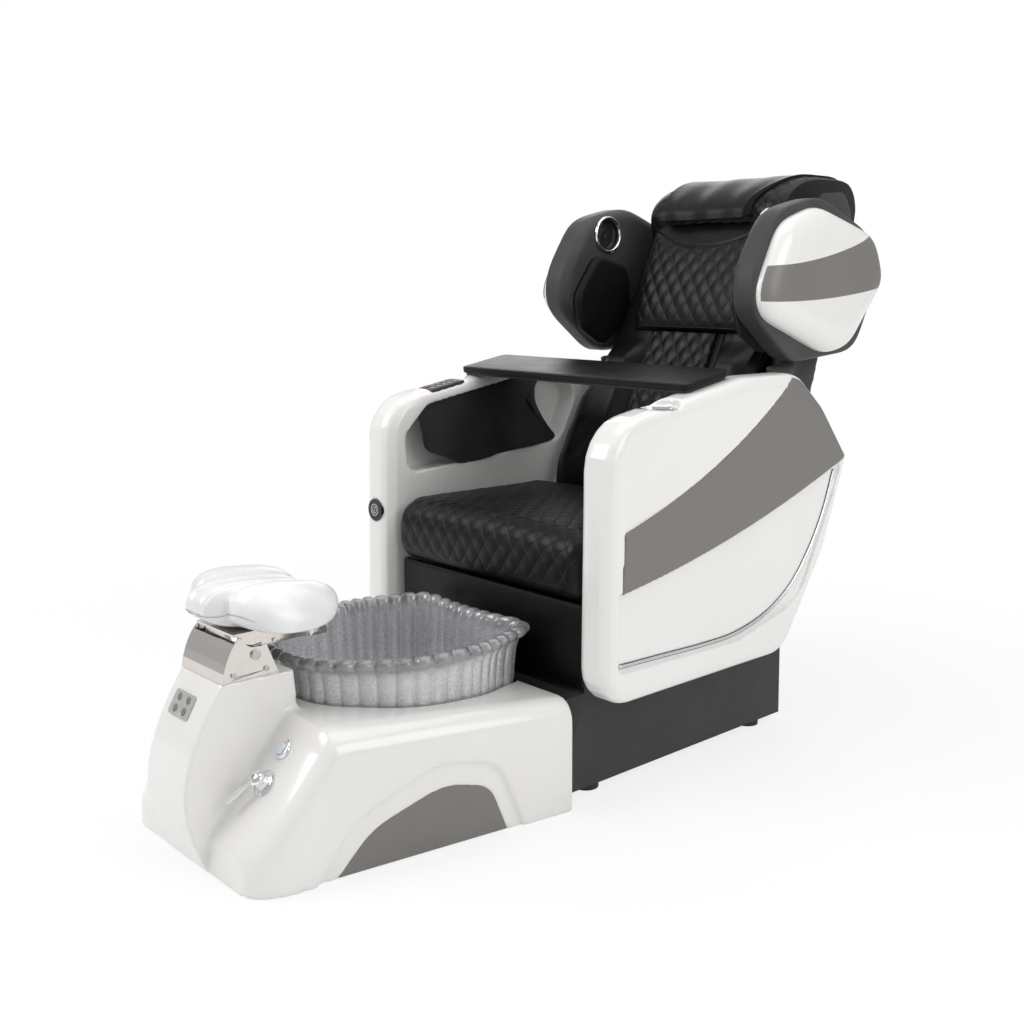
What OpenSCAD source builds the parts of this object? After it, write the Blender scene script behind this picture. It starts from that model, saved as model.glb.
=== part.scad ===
// Pedicure spa chair: foot bath, seat base, two arm shells and a reclining back with head wings.
// Millimetres. X = 0 is the symmetry plane, -Y is the foot end, Z = 0 is the floor,
// Y = 0 is the joint between the foot bath and the seat base.

/* [Foot bath] */
// Half width of the bath at its rear joint
bath_hw_rear = 327; // [300:1:360]
// Half width of the bath just behind its front corners
bath_hw_front = 249; // [225:1:280]
// Length of the bath from the joint to the console's front face
bath_len = 660; // [600:1:720]
// Height of the deck at the joint
deck_z = 228; // [200:1:260]
// How far the deck rises towards the console
deck_rise = 34; // [10:1:50]
// Height of the console's upright front face
console_foot = 84; // [60:1:110]
// Console slope from the floor plane, in degrees
console_deg = 51; // [40:1:60]
// Depth of the arched side recess
arch_depth = 9; // [4:1:16]
// Thickness of the moulding over the hollow underside
bath_wall = 14; // [8:1:24]

/* [Prow] */
// Half width of the prow's front face
prow_hw = 73; // [60:1:90]
// Height of the prow's top
prow_z = 336.5; // [300:0.5:370]
// How far the prow's belly stands in front of the console face
prow_belly = 42; // [20:1:60]

/* [Bowl] */
// Half width over the rim
bowl_hw = 228; // [200:1:245]
// From the bath's front to the rim's front end
bowl_setback = 194; // [184:1:230]
// Height of the rim's top
rim_z = 347; // [320:1:370]
// Depth from the rim to the bowl's floor
bowl_depth = 186; // [150:1:200]
// Wall thickness
bowl_t = 6; // [4:0.5:10]
// Number of flutes round the rim
flutes = 44; // [32:2:56]
// Height of a flute
flute_h = 3.6; // [2:0.2:6]
// Radius of the drain hole
drain_r = 22; // [16:1:30]

/* [Footrest] */
// Height of the bracket above the prow
bracket_h = 78; // [60:1:100]
// Sheet thickness of the bracket
bracket_t = 3; // [2:0.5:5]
// Pivot pin radius
foot_pin_r = 6; // [4:0.5:8]
// Half spacing of the two foot lobes
lobe_x = 95; // [80:1:110]
// Half width of one lobe
lobe_w = 60; // [50:1:70]
// Half length of one lobe
lobe_l = 110; // [95:1:125]
// Thickness of the pad at a lobe
pad_t = 68; // [50:1:90]

/* [Controls] */
// Radius of the tap's escutcheon
tap_r = 24; // [20:1:30]
// Length of the tap lever
lever_len = 62; // [45:1:80]
// Radius of the jet button
jet_r = 12.5; // [9:0.5:16]
// Width of the key plate on the prow
keys_w = 72; // [60:1:90]
// Height of the key plate
keys_h = 46; // [36:1:56]
// Radius of the power button on the arm's front
power_r = 17; // [12:1:22]

/* [Seat base] */
// Space between the base box and each arm shell
box_gap = 20; // [14:1:40]
// Length of the base box
box_len = 742; // [680:1:800]
// Ground clearance under the box
box_lift = 15; // [8:1:30]
// Height of the box's top
box_top = 368; // [340:1:380]
// Board thickness
board = 12; // [8:1:20]

/* [Seat] */
// Half width of the cushion
seat_hw = 297; // [270:1:300]
// Front of the cushion
seat_front = 32; // [0:1:60]
// Rear of the cushion
seat_rear = 494; // [460:1:500]
// Height of the seat frame under the cushion
frame_t = 20; // [14:1:30]
// Thickness of the cushion
seat_t = 142; // [110:1:160]
// Depth of the sewn diamonds
tuft = 3; // [1:0.5:5]
// Stroke of the seat slide
slide_travel = 110; // [60:5:120]

/* [Arms] */
// Clearance between the cushion and each arm shell
arm_gap = 11; // [6:1:20]
// Thickness of an arm shell
arm_t = 92; // [80:1:104]
// Underside of the arm shells
arm_low = 214; // [190:1:240]
// Front of the arm shells
arm_front = 18; // [0:1:40]
// Depth of the forearm bay
bay_depth = 58; // [40:1:66]
// Thickness of the side stripe
stripe_t = 9; // [4:0.5:12]
// Depth of the recessed lower panel
panel_d = 12; // [6:1:16]
// Cup well radius
cup_r = 35; // [30:0.5:38]
// Cup well depth
cup_depth = 60; // [40:1:80]

/* [Tray] */
// How far the tray's ends stay inside the arms' outer faces
tray_inset = 37; // [20:1:60]
// Depth of the tray
tray_w = 148; // [120:1:170]
// Thickness of the tray board
tray_board_t = 5; // [4:0.5:8]
// Thickness of the tray's padding
tray_pad_t = 16; // [10:1:24]
// Tray pivot radius
tray_pin_r = 8; // [6:0.5:12]

/* [Back] */
// How much narrower the back is than the seat, on each side
back_inset = 9; // [4:1:30]
// Half width of the back at the head
head_hw = 206; // [180:1:220]
// Height of the recline pivot
hinge_z = 470; // [450:1:490]
// Place of the recline pivot along the chair
hinge_y = 650; // [630:1:670]
// Recline pivot radius
hinge_r = 10; // [8:0.5:14]

/* [Wings] */
// Inner face of the wings
wing_in = 262; // [245:1:275]
// Thickness of the padded wing
wing_t = 72; // [58:1:83]
// Height of the wing shell's dome
wing_dome = 40; // [30:1:56]
// Radius of the speaker ring
speaker_r = 46; // [36:1:54]

/* [Hidden] */
$fn = 48;
gap = 0.3;
arm_in = seat_hw + arm_gap;
arm_out = arm_in + arm_t;
box_hw = arm_in - box_gap;
back_hw = seat_hw - back_inset;
tray_len = 2 * (arm_out - tray_inset);
rail_z = box_top + gap;
frame_z = rail_z + 12 + gap;
seat_z = frame_z + frame_t + gap;
wing_mid = wing_in + wing_t;
wing_out = wing_mid + wing_dome;
lug_x = back_hw - 42; // inner face of the recline lugs

// ---------- helpers ----------
function unit(v) = v / norm(v);
function lerp(a, b, t) = a + (b - a) * t;
// straight-line lookup in a short table of [x, value]
function look(T, x, i = 0) =
  x <= T[0][0] ? T[0][1] : i >= len(T) - 1 ? T[len(T) - 1][1] :
  x <= T[i + 1][0] ? lerp(T[i][1], T[i + 1][1], (x - T[i][0]) / (T[i + 1][0] - T[i][0])) : look(T, x, i + 1);
// smooth step from 0 to 1 between a and b
function ease(a, b, x) = let(t = min(1, max(0, (x - a) / (b - a)))) t * t * (3 - 2 * t);
// outline of [x, y, fillet radius] corners with every corner drawn as an arc of n steps
function fillet(P, i, n) =
  let(m = len(P), b = [P[i][0], P[i][1]], a = [P[(i + m - 1) % m][0], P[(i + m - 1) % m][1]],
      c = [P[(i + 1) % m][0], P[(i + 1) % m][1]], u = unit(a - b), v = unit(c - b), h = acos(u * v) / 2,
      r = P[i][2], o = b + unit(u + v) * (r / sin(h)), s = b + u * (r / tan(h)), e = b + v * (r / tan(h)),
      t0 = atan2(s[1] - o[1], s[0] - o[0]), t1 = atan2(e[1] - o[1], e[0] - o[0]), dt = (t1 - t0 + 540) % 360 - 180)
  [for (k = [0:n]) o + r * [cos(t0 + dt * k / n), sin(t0 + dt * k / n)]];
function rounded(P, n = 5) = [for (i = [0:len(P) - 1]) each fillet(P, i, n)];
// the same corners moved inwards by d times the weight of each edge (fourth value, 1 if absent)
function wt(p) = len(p) > 3 ? p[3] : 1;
function inset(P, d) = [for (i = [0:len(P) - 1])
  let(m = len(P), q = P[(i + m - 1) % m], b = [P[i][0], P[i][1]], a = [q[0], q[1]],
      c = [P[(i + 1) % m][0], P[(i + 1) % m][1]], u = unit(a - b), v = unit(c - b), s = sin(acos(u * v)),
      p = b + (v * d * wt(q) + u * d * wt(P[i])) / s)
  [p[0], p[1], max(1.5, P[i][2] - d * min(wt(q), wt(P[i]))), wt(P[i])]];
// closed solid through rings with the same number of points
function mean(r) = [for (k = [0:2]) ([for (p = r) p[k]] * [for (p = r) 1]) / len(r)];
module loft(R) {
  n = len(R[0]);
  m = len(R);
  polyhedron(
    points = concat([for (r = R) each r], [mean(R[0]), mean(R[m - 1])]),
    faces = concat(
      [for (i = [0:m - 2], j = [0:n - 1]) let(k = (j + 1) % n) [i * n + j, (i + 1) * n + j, (i + 1) * n + k]],
      [for (i = [0:m - 2], j = [0:n - 1]) let(k = (j + 1) % n) [i * n + j, (i + 1) * n + k, i * n + k]],
      [for (j = [0:n - 1]) [n * m, j, (j + 1) % n]],
      [for (j = [0:n - 1]) [n * m + 1, (m - 1) * n + (j + 1) % n, (m - 1) * n + j]]));
}
// a [y, z] outline placed at x
function at_x(O, x) = [for (p = O) [x, p[0], p[1]]];
// prism of a [y, z] outline between x = a and x = b
module prism_x(O, a, b) translate([a, 0, 0]) rotate([90, 0, 90]) linear_extrude(b - a) polygon(O);
// quadratic curve
function bez(a, b, c, n) = [for (k = [0:n]) let(t = k / n) a * (1 - t) * (1 - t) + b * 2 * t * (1 - t) + c * t * t];
module both() { children(); mirror([1, 0, 0]) children(); }
module rod_x(r, a, b) translate([a, 0, 0]) rotate([0, 90, 0]) cylinder(r = r, h = b - a);

// ---------- foot bath ----------
console_top_y = -bath_len + 14 + (deck_z + deck_rise - console_foot) / tan(console_deg);
corner_l = 130; // length over which the front corners turn in
side_l = bath_len - corner_l;
function hw(y) = y > -side_l ? lerp(bath_hw_rear, bath_hw_front, -y / side_l) :
  bath_hw_front - 64 * (1 - sqrt(max(0, 1 - pow((-side_l - y) / corner_l, 2.4))));
function deck(y) = y > console_top_y + 20 ? deck_z + deck_rise * min(1, -y / 480)
  : let(line = console_foot + (y + bath_len - 14) * tan(console_deg),
        flat = deck_z + deck_rise, s = ease(console_top_y + 20, console_top_y - 20, y),
        base = line * s + min(flat, flat) * (1 - s))
    y < -bath_len + 28 ? min(base, console_foot + 34 * sqrt(max(0.04, (y + bath_len) / 28)) - 12) : min(flat, base);
function bath_ring(y) =
  let(w = hw(y), d = deck(y), t = min(1, -y / 480), lean = 12 + 20 * t, r = min(20 + 18 * t, d * 0.4),
      crease = max(d * 0.45, d - 66), wt = w - lean,
      half = concat([[w, 0], [w, d * 0.22], [w - 1, crease - 6], [w - 5, crease + 8]],
        [for (k = [0:5]) [wt - r + r * cos(k * 18), d - r + r * sin(k * 18)]],
        [for (k = [1:4]) [(wt - r) * (1 - k / 5), d]]))
  [for (p = concat(half, [for (i = [len(half) - 1:-1:0]) [-half[i][0], half[i][1]]])) [p[0], y, p[1]]];
joint_y = 3; // rear plane of the bath
bath_y = concat([joint_y], [for (t = [0.04, 0.125, 0.25, 0.375, 0.5, 0.625, 0.75, 0.875, 0.955]) t * (console_top_y + 20)],
  [for (d = [20, 8, -6, -20]) console_top_y + d], [for (d = [100, 75, 50, 32, 22, 14, 8, 3.5, 1, 0]) d - bath_len]);
// front line of the prow, from the floor to the bracket's seat
function prow_front(z) = let(t = z / prow_z)
  -bath_len - 2 - prow_belly * (t < 0.43 ? sin(90 * t / 0.43) : 1 - 1.82 * pow(max(0, t - 0.43) / 0.57, 1.75));
prow_rear = console_top_y + 18;
function prow_ring(z) = let(f = prow_front(z), b = 88, w = prow_hw + 3 * z / prow_z)
  [for (p = [[-w + 3, f], [w - 3, f], [w, f + 4], [lerp(w, b, 0.35), lerp(f, prow_rear, 0.35)], [lerp(w, b, 0.7), lerp(f, prow_rear, 0.7)],
    [b, prow_rear - 6], [b - 8, prow_rear + look([[200, 10], [250, 10], [prow_z, 0]], z)],
    [-b + 8, prow_rear + look([[200, 10], [250, 10], [prow_z, 0]], z)], [-b, prow_rear - 6],
    [-lerp(w, b, 0.7), lerp(f, prow_rear, 0.7)], [-lerp(w, b, 0.35), lerp(f, prow_rear, 0.35)], [-w, f + 4]]) [p[0], p[1], z]];
prow_levels = [for (t = [0, 0.09, 0.18, 0.27, 0.36, 0.45, 0.54, 0.62, 0.71, 0.79, 0.86, 0.93, 1]) t * prow_z];

// arch in the bath's sides, as [y, z] corners with fillets
arch = [[94 - bath_len, -20, 4], [180 - bath_len, 100, 150], [-300, 172, 170], [-170, 138, 70], [-104, -20, 4]];
arch_in = [[132 - bath_len, -20, 4], [220 - bath_len, 74, 150], [-290, 122, 150], [-190, 96, 60], [-142, -20, 4]];
module side_frame() // the side wall's plane: local x points out of the wall
  translate([bath_hw_rear, 0, 0]) rotate([0, 0, -atan((bath_hw_rear - bath_hw_front) / side_l)]) children();

// console plane: local z is its normal, local y points up the slope
module on_console(x, y) translate([x, y, console_foot + (y + bath_len - 14) * tan(console_deg)]) rotate([console_deg, 0, 0]) children();
tap_x = 137;
tap_y = 78 - bath_len;
jet_x = 134;
jet_y = 119 - bath_len;

// key plate on the prow's face
keys_x = -13;
keys_z = prow_z - 50.5;
keys_deg = atan2(24, prow_front(298) - prow_front(274));
module on_prow() translate([keys_x, prow_front(keys_z), keys_z]) rotate([keys_deg, 0, 0]) children();

// ---------- bowl ----------
bowl_rear = 22;
bowl_front = bowl_setback - bath_len;
bowl_mid = bowl_rear - (bowl_rear - bowl_front) * 0.4057;
// plan of the rim, a shell with flared rear corners; a runs from 0 to 360, s scales it about its centre
function shell_r(a) = let(x = cos(a), y = sin(a),
    q = pow(pow(abs(x), 2.5) + pow(abs(y), 2.5), -1 / 2.5),
    len_y = y > 0 ? (bowl_rear - bowl_mid) : (bowl_mid - bowl_front),
    horn = y > 0 ? 1 + 0.16 * exp(-pow((abs(abs(a > 180 ? a - 360 : a) - 90) - 36) / 13, 2)) - 0.03 * exp(-pow((a - 90) / 16, 2))
                 : 1 - 0.06 * exp(-pow((abs(a - 270) - 45) / 18, 2)))
  [bowl_hw * x * q * horn, len_y * y * q * horn];
function bowl_pt(a, off, fl) = let(p = shell_r(a), u = unit(p), g = fl * flute_h * cos(a * flutes))
  [p[0] + u[0] * (off + g), bowl_mid + p[1] + u[1] * (off + g)];
bowl_n = flutes * 4;
function bowl_ring(off, z, fl, zf = 0) = [for (i = [0:bowl_n - 1]) let(a = i * 360 / bowl_n, p = bowl_pt(a, off, fl))
  [p[0], p[1], z + zf * cos(a * flutes)]];
bowl_floor = rim_z - bowl_depth;
bowl_levels = concat(
  [bowl_ring(-66, bowl_floor - bowl_t, 0), bowl_ring(-44, bowl_floor - bowl_t + 6, 0.3), bowl_ring(-28, deck_z - 34, 0.7),
   bowl_ring(-18, rim_z - 34, 1), bowl_ring(-10, rim_z - 24, 1), bowl_ring(0, rim_z - 14, 1.2, 1.5),
   bowl_ring(1, rim_z - 6, 1.2, 1.5), bowl_ring(-6, rim_z, 1, 1.5), bowl_ring(-18, rim_z - 1, 1, 1),
   bowl_ring(-18 - bowl_t * 1.3, rim_z - 14, 1), bowl_ring(-18 - bowl_t * 1.3, rim_z - 34, 1),
   bowl_ring(-28 - bowl_t, deck_z - 30, 0.7), bowl_ring(-44 - bowl_t, bowl_floor + 8, 0.3), bowl_ring(-66, bowl_floor, 0)]);
function smooth_ring(off, n) = [for (i = [0:n - 1]) bowl_pt(i * 360 / n, off, 0)];

// ---------- arms ----------
arm_slope = 10.26;
function arm_top(y) = 768 + (y - 24) * tan(arm_slope);
// [y, z, fillet, inner-edge weight], seen from outside
arm_pts = [[arm_front, arm_low, 72, 0.34], [605, arm_low, 82, 0.34], [758, 428, 260, 0.34], [847, 642, 17, 0.34],
  [742, 768, 150, 0.34], [645, 846, 90, 0.34], [455, arm_top(455), 240, 0.34], [arm_front + 6, 768, 108, 1]];
function plain(P) = [for (p = P) [p[0], p[1], p[2]]];
arm_rings = concat(
  [for (k = [0:3]) at_x(rounded(inset(arm_pts, 58 * (1 - sin(k * 30)))), arm_in + 30 * (1 - cos(k * 30)))],
  [for (k = [0:3]) at_x(rounded(inset(plain(arm_pts), 24 * (1 - cos(k * 30)))), arm_out - 24 + 24 * sin(k * 30))]);
stripe = concat(bez([64, 440], [460, 495], [872, 655], 12), bez([660, 872], [425, 660], [72, 560], 12));
panel = [[52, 440, 3], [52, 284, 18], [430, 276, 190], [655, 328, 120], [802, 588, 60], [812, 628, 6]];
panel_all = concat(rounded(panel, 6), bez([812, 640], [440, 492], [60, 441], 8));
bay = [[84, 596, 28], [585, 634, 60], [655, 776, 52], [560, 812, 60], [455, 812, 200], [140, 756, 62], [76, 690, 40]];
cup_x = arm_in + arm_t / 2;
cup_y = 212;
cup_top = arm_top(cup_y - 44) - 1.5;
module arm_core() loft(arm_rings);
// everything both arms share
module arm_shell() difference() {
  arm_core();
  prism_x(stripe, arm_out - stripe_t - gap, arm_out + 5);
  prism_x(panel_all, arm_out - panel_d, arm_out + 5);
  prism_x(rounded(bay), arm_in - 5, arm_in + bay_depth);
}
// plane of the arms' tops: local y runs up the slope
module on_arm(x, y) translate([x, y, arm_top(y)]) rotate([arm_slope, 0, 0]) children();
remote_x = -arm_in - 35;
remote_y = 210;
power_x = -arm_in - 49;
power_z = 510;

// ---------- tray ----------
tray_y = 366;
tray_piv_x = arm_in + 37;
tray_piv_y = 312;
module tray_outline(d, r) translate([-tray_len / 2 + d + r, -tray_w / 2 + d + r]) offset_square(tray_len - 2 * d, tray_w - 2 * d, r);
module offset_square(w, h, r) polygon(rounded([[-r, -r, r], [w - r, -r, r], [w - r, h - r, r], [-r, h - r, r]], 6));

// ---------- back ----------
back_slope = 0.49;
function back_y(z) = 530 + (z - 545) * back_slope; // front of the centre panel
back_deg = atan(back_slope);
// local frame of the back: y runs up the back, z points out of its front
module on_back(z) translate([0, back_y(z), z]) rotate([90 - back_deg, 0, 0]) children();
shell_side = [[640, 508, 30], [742, 560, 60], [842, 782, 160], [1004, 925, 160], [1160, 1215, 60], [1120, 1308, 60],
  [968, 1311, 30], [795, 905, 200], [620, 560, 30]];
function shell_hw(z) = look([[500, back_hw - 8], [820, back_hw - 6], [866, wing_in - 1], [1330, head_hw - 4]], z);

// ---------- wings ----------
wing_pts = [[702, 862, 24, 1], [962, 882, 60, 1], [1068, 1070, 50, 1], [1010, 1172, 60, 1], [800, 1250, 90, 1], [640, 1212, 80, 1],
  [556, 1080, 110, 1], [542, 985, 48, 1]];
wing_shell_pts = [[575, 968, 26], [815, 878, 90], [905, 892, 50], [1052, 1050, 34], [1005, 1164, 56], [770, 1226, 76],
  [634, 1182, 66], [549, 1022, 44]];
wing_stripe = concat(bez([540, 1006], [800, 998], [1080, 1046], 8), bez([1080, 1200], [820, 1092], [566, 1084], 8));
dome_x = [0, 0.45, 0.72, 0.88, 0.97, 1];
dome_d = [0, 5, 14, 26, 42, 62];
module dome(a = 0) loft([for (k = [0:5]) at_x(rounded(inset(wing_shell_pts, dome_d[k] + a), 4), wing_mid + gap + (wing_out - wing_mid - gap - a) * dome_x[k])]);
speaker_y = 712;
speaker_z = 1172;

// ================= parts =================
// well that the bowl stands in, clear of its flutes at the deck
well_off = lerp(-28, -18, (deck_rise + 34) / (rim_z - deck_z)) + flute_h + 0.8;
module well() translate([0, 0, bowl_floor - bowl_t - gap]) linear_extrude(400) polygon(smooth_ring(well_off, 88));
module tub_body() color([0.93, 0.92, 0.9]) difference() {
  union() {
    loft([for (y = bath_y) bath_ring(y)]);
    loft([for (z = prow_levels) prow_ring(z)]);
  }
  // hollow underside
  translate([0, 0, -5]) linear_extrude(105 + 5) polygon([[-bath_hw_rear + 34, -bath_wall], [bath_hw_rear - 34, -bath_wall],
    [bath_hw_front - 40, 140 - bath_len], [160, 20 + bath_wall - bath_len], [-160, 20 + bath_wall - bath_len], [-bath_hw_front + 40, 140 - bath_len]]);
  well();
  // drain passage
  translate([0, bowl_mid, -1]) cylinder(r = drain_r + 4, h = 300);
  // arched side recesses
  both() side_frame() prism_x(rounded(arch, 6), -arch_depth, 60);
  // tap, button and key seats
  on_console(tap_x, tap_y) translate([0, 0, -40]) cylinder(r = 12, h = 60);
  on_console(jet_x, jet_y) translate([0, 0, -34]) cylinder(r = jet_r + 4, h = 60);
  on_prow() translate([0, 0, -6]) linear_extrude(30) translate([-keys_w / 2 + 7, -keys_h / 2 + 7]) offset_square(keys_w, keys_h, 7);
}

module arch_panels() color([0.53, 0.52, 0.5]) both() side_frame()
  difference() {
    prism_x(rounded(arch_in, 6), -arch_depth + gap, -arch_depth + gap + 3);
    translate([-50, -700, -40]) cube([100, 720, 42]);
  }

module bowl() color([0.72, 0.73, 0.75, 0.8]) difference() {
  loft(bowl_levels);
  translate([0, bowl_mid, 0]) cylinder(r = drain_r, h = rim_z);
}

module drain_fitting() color([0.8, 0.8, 0.82]) translate([0, bowl_mid, 0]) difference() {
  union() {
    translate([0, 0, bowl_floor + gap]) cylinder(r = drain_r + 9, h = 3);
    translate([0, 0, 70]) cylinder(r = drain_r - gap, h = bowl_floor + 2 - 70);
  }
  translate([0, 0, 60]) cylinder(r = drain_r - 4, h = bowl_floor - 66);
  for (a = [0:60:300]) rotate([0, 0, a]) translate([11, 0, 60]) cylinder(r = 3, h = 200);
  translate([0, 0, 60]) cylinder(r = 3, h = 200);
}

bracket_hw = prow_hw + 3;
bracket_z = prow_z + gap;
foot_y = 100 - bath_len; // pivot of the footrest
foot_z = bracket_z + bracket_h - 36;
bolt_y = [-45, 22];
bracket_side = concat([[48, 0]], bez([23, bracket_h - 20], [-14, bracket_h - 32], [-28, bracket_h], 6),
  bez([-32, bracket_h], [-58, bracket_h - 22], [-68, 0], 6));
module footrest_bracket() color([0.78, 0.77, 0.75]) translate([0, foot_y, bracket_z]) difference() {
  prism_x(bracket_side, -bracket_hw, bracket_hw);
  difference() {
    prism_x([[60, -1], [60, bracket_h + 30], [-36, bracket_h + 30], [-43, bracket_h - 18], [-59, bracket_h - 46], [-65, -1]],
      -bracket_hw + bracket_t, bracket_hw - bracket_t);
    // turned-in foot flange on the prow
    translate([-bracket_hw, -80, 0]) cube([2 * bracket_hw, 36, bracket_t]);
  }
  translate([0, 0, foot_z - bracket_z]) rod_x(foot_pin_r + 0.05, -200, 200);
  for (y = bolt_y) translate([0, y, 12]) rod_x(2.7, -200, 200);
}

module bracket_bolts() color([0.7, 0.7, 0.7]) both() for (y = bolt_y) translate([bracket_hw, foot_y + y, bracket_z + 12]) {
  rod_x(5, gap, 3);
  rod_x(2.4, -bracket_t - 4, gap);
}

module footrest_pin() color([0.75, 0.75, 0.76]) translate([0, foot_y, foot_z]) {
  rod_x(foot_pin_r, -bracket_hw - 4, bracket_hw + 4);
  both() rod_x(foot_pin_r + 3, bracket_hw + gap, bracket_hw + 5);
}

bar_x = bracket_hw - 13;
carrier_z = foot_z + 10;
module footrest_carrier() color([0.74, 0.73, 0.71]) difference() {
  union() {
    both() {
      translate([bar_x - 4, foot_y - 26, carrier_z]) cube([5, 146, 27]);
      translate([bar_x - 4, foot_y + 122, carrier_z - 2]) cube([8, 38, 29]);
      translate([bar_x - 4, foot_y + 110, carrier_z + 4]) cube([5, 40, 20]);
      translate([0, foot_y, foot_z]) rod_x(14, bar_x - 4, bar_x + 1);
    }
    translate([-bar_x - 4, foot_y - 40, carrier_z + 27]) cube([2 * bar_x + 8, 190, 4]);
    both() for (p = [[45, 6], [62, 20], [134, 6], [152, 20]]) translate([0, foot_y + p[0], carrier_z + p[1]]) rod_x(3.4, bar_x, bar_x + 6);
  }
  translate([0, foot_y, foot_z]) rod_x(foot_pin_r + 0.05, -200, 200);
}

// padded footrest: two long lobes, a saddle between them and a front tongue
pad_seat = carrier_z + 31 + gap;
pad_y = foot_y + 63;
function lobe(x) = exp(-pow((abs(x) - lobe_x) / (lobe_w * 0.62), 2));
pad_hw = lobe_x + lobe_w;
function pad_ring(x) = let(e = min(1, abs(x) / pad_hw), edge = sqrt(max(0.02, 1 - pow(e, 5))),
    fr = lerp(142, lobe_l, ease(30, 62, abs(x))) - 12 * exp(-pow((abs(x) - 52) / 10, 2)), re = lerp(98, lobe_l - 2, ease(10, 70, abs(x))),
    up = lerp(pad_t - 12, pad_t, lobe(x)) * edge, low = 8 * (1 - edge))
  [for (k = [0:19]) let(a = k * 18, c = cos(a), s = sin(a), cc = sign(c) * pow(abs(c), 0.75), ss = sign(s) * pow(abs(s), 0.8),
      yy = (cc > 0 ? re : fr) * edge * cc,
      tilt = 10 - 0.1 * yy, drop = s > 0 ? 0 : (abs(yy) > 60 ? 0.10 * (abs(yy) - 60) : 0))
    [x, pad_y + yy, pad_seat + low + (s > 0 ? up * 0.5 + up * 0.5 * ss + tilt * ss : up * 0.5 * (1 + ss) + drop)]];
module footrest_pad() color([0.96, 0.96, 0.95])
  loft([for (x = [-1, -0.985, -0.94, -0.86, -0.76, -0.62, -0.48, -0.38, -0.3, -0.2, 0, 0.2, 0.3, 0.38, 0.48, 0.62, 0.76, 0.86, 0.94, 0.985, 1]) pad_ring(x * pad_hw)]);

module tap_base() color([0.85, 0.85, 0.87]) on_console(tap_x, tap_y) {
  translate([0, 0, gap]) rotate_extrude() polygon([[0, 0], [tap_r, 0], [tap_r, 1.5], [tap_r - 5, 4], [15, 5], [15, 12], [0, 12]]);
  translate([0, 0, -30]) cylinder(r = 11, h = 31);
}
module tap_cap() color([0.85, 0.85, 0.87]) on_console(tap_x, tap_y) translate([0, 0, 12 + 2 * gap]) difference() {
  union() {
    rotate_extrude() polygon(concat([[0, 0], [15, 0]], [for (k = [0:5]) [15 * cos(k * 15), 9 + 9 * sin(k * 15)]], [[0, 18]]));
  }
  rotate([0, 0, -27]) translate([-3.3, -30, 4]) cube([6.6, 34, 30]);
  rotate([0, 0, -27]) translate([0, -6, 10]) rod_x(1.55, -20, 20);
}
module tap_lever() color([0.85, 0.85, 0.87]) on_console(tap_x, tap_y) translate([0, 0, 12 + 2 * gap]) rotate([0, 0, -27]) translate([0, -6, 10]) {
  difference() {
    union() {
      rod_x(4, -3, 3);
      rotate([-4, 0, 0]) translate([-3, -20, 0]) cube([6, 20, 4]);
      rotate([-4, 0, 0]) translate([0, -18, 0]) linear_extrude(5) polygon(rounded([[-6, 18 - lever_len, 5], [6, 18 - lever_len, 5], [4, 0, 1], [-4, 0, 1]], 5));
    }
    rod_x(1.5, -20, 20);
  }
  rod_x(1.5, -8, 8);
}

module jet_bezel() color([0.85, 0.85, 0.87]) on_console(jet_x, jet_y) rotate_extrude() polygon([[jet_r + 0.4, -22], [jet_r + 3.7, -22],
  [jet_r + 3.7, gap], [jet_r + 7, gap], [jet_r + 7, 3], [jet_r + 5, 6], [jet_r + 1, 6.5], [jet_r + 0.4, 6]]);
module jet_button() color([0.82, 0.84, 0.88]) on_console(jet_x, jet_y) translate([0, 0, -14]) rotate_extrude() polygon([[0, 0],
  [jet_r, 0], [jet_r, 22], [jet_r - 1.5, 24], [0, 25]]);

module key_plate() color([0.66, 0.65, 0.63]) on_prow() difference() {
  translate([0, 0, -6 + gap]) linear_extrude(8) translate([-keys_w / 2 + 7 + gap, -keys_h / 2 + 7 + gap]) offset_square(keys_w - 2 * gap, keys_h - 2 * gap, 7);
  for (i = [0:3]) key_at(i) translate([0, 0, -3]) cylinder(r = 7.5, h = 10);
}
module key_at(i) translate([(i % 2 - 0.5) * 32, (0.5 - floor(i / 2)) * 21, 0]) children();
module key_cap(i) color([0.72, 0.71, 0.69]) on_prow() key_at(i) translate([0, 0, -0.7]) {
  cylinder(r = 7, h = 3.4);
  translate([0, 0, 3.4]) rotate_extrude() polygon([[3.4, 0], [4.6, 0], [4.6, 0.5], [3.4, 0.5]]);
}
module key_1() key_cap(0);
module key_2() key_cap(1);
module key_3() key_cap(2);
module key_4() key_cap(3);

// ---------- seat base ----------
module base_box() color([0.24, 0.24, 0.235]) difference() {
  union() {
    translate([-box_hw, joint_y + gap, box_lift]) cube([2 * box_hw, box_len - joint_y - gap, deck_z - 14 - box_lift]);
    translate([-box_hw, 72, deck_z - 20]) cube([2 * box_hw, box_len - 72, box_top - deck_z + 20]);
  }
  translate([-box_hw + board, 72 + board, box_lift - 1]) cube([2 * (box_hw - board), box_len - 72 - 2 * board, box_top - board - box_lift + 1]);
  well();
  for (x = [-70, 70]) translate([x, box_len - board - 2, 92]) rotate([-90, 0, 0]) cylinder(r = 12, h = 30);
  translate([-170, box_len - board - 2, 80]) rotate([-90, 0, 0]) cylinder(r = 21, h = 30);
  translate([190, box_len - board - 2, 80]) rotate([-90, 0, 0]) cylinder(r = 15, h = 30);
}
module box_feet() color([0.08, 0.08, 0.08]) both() for (y = [110, 658]) translate([box_hw - 33, y, 0]) {
  cylinder(r = 28, h = box_lift - gap);
}
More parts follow.
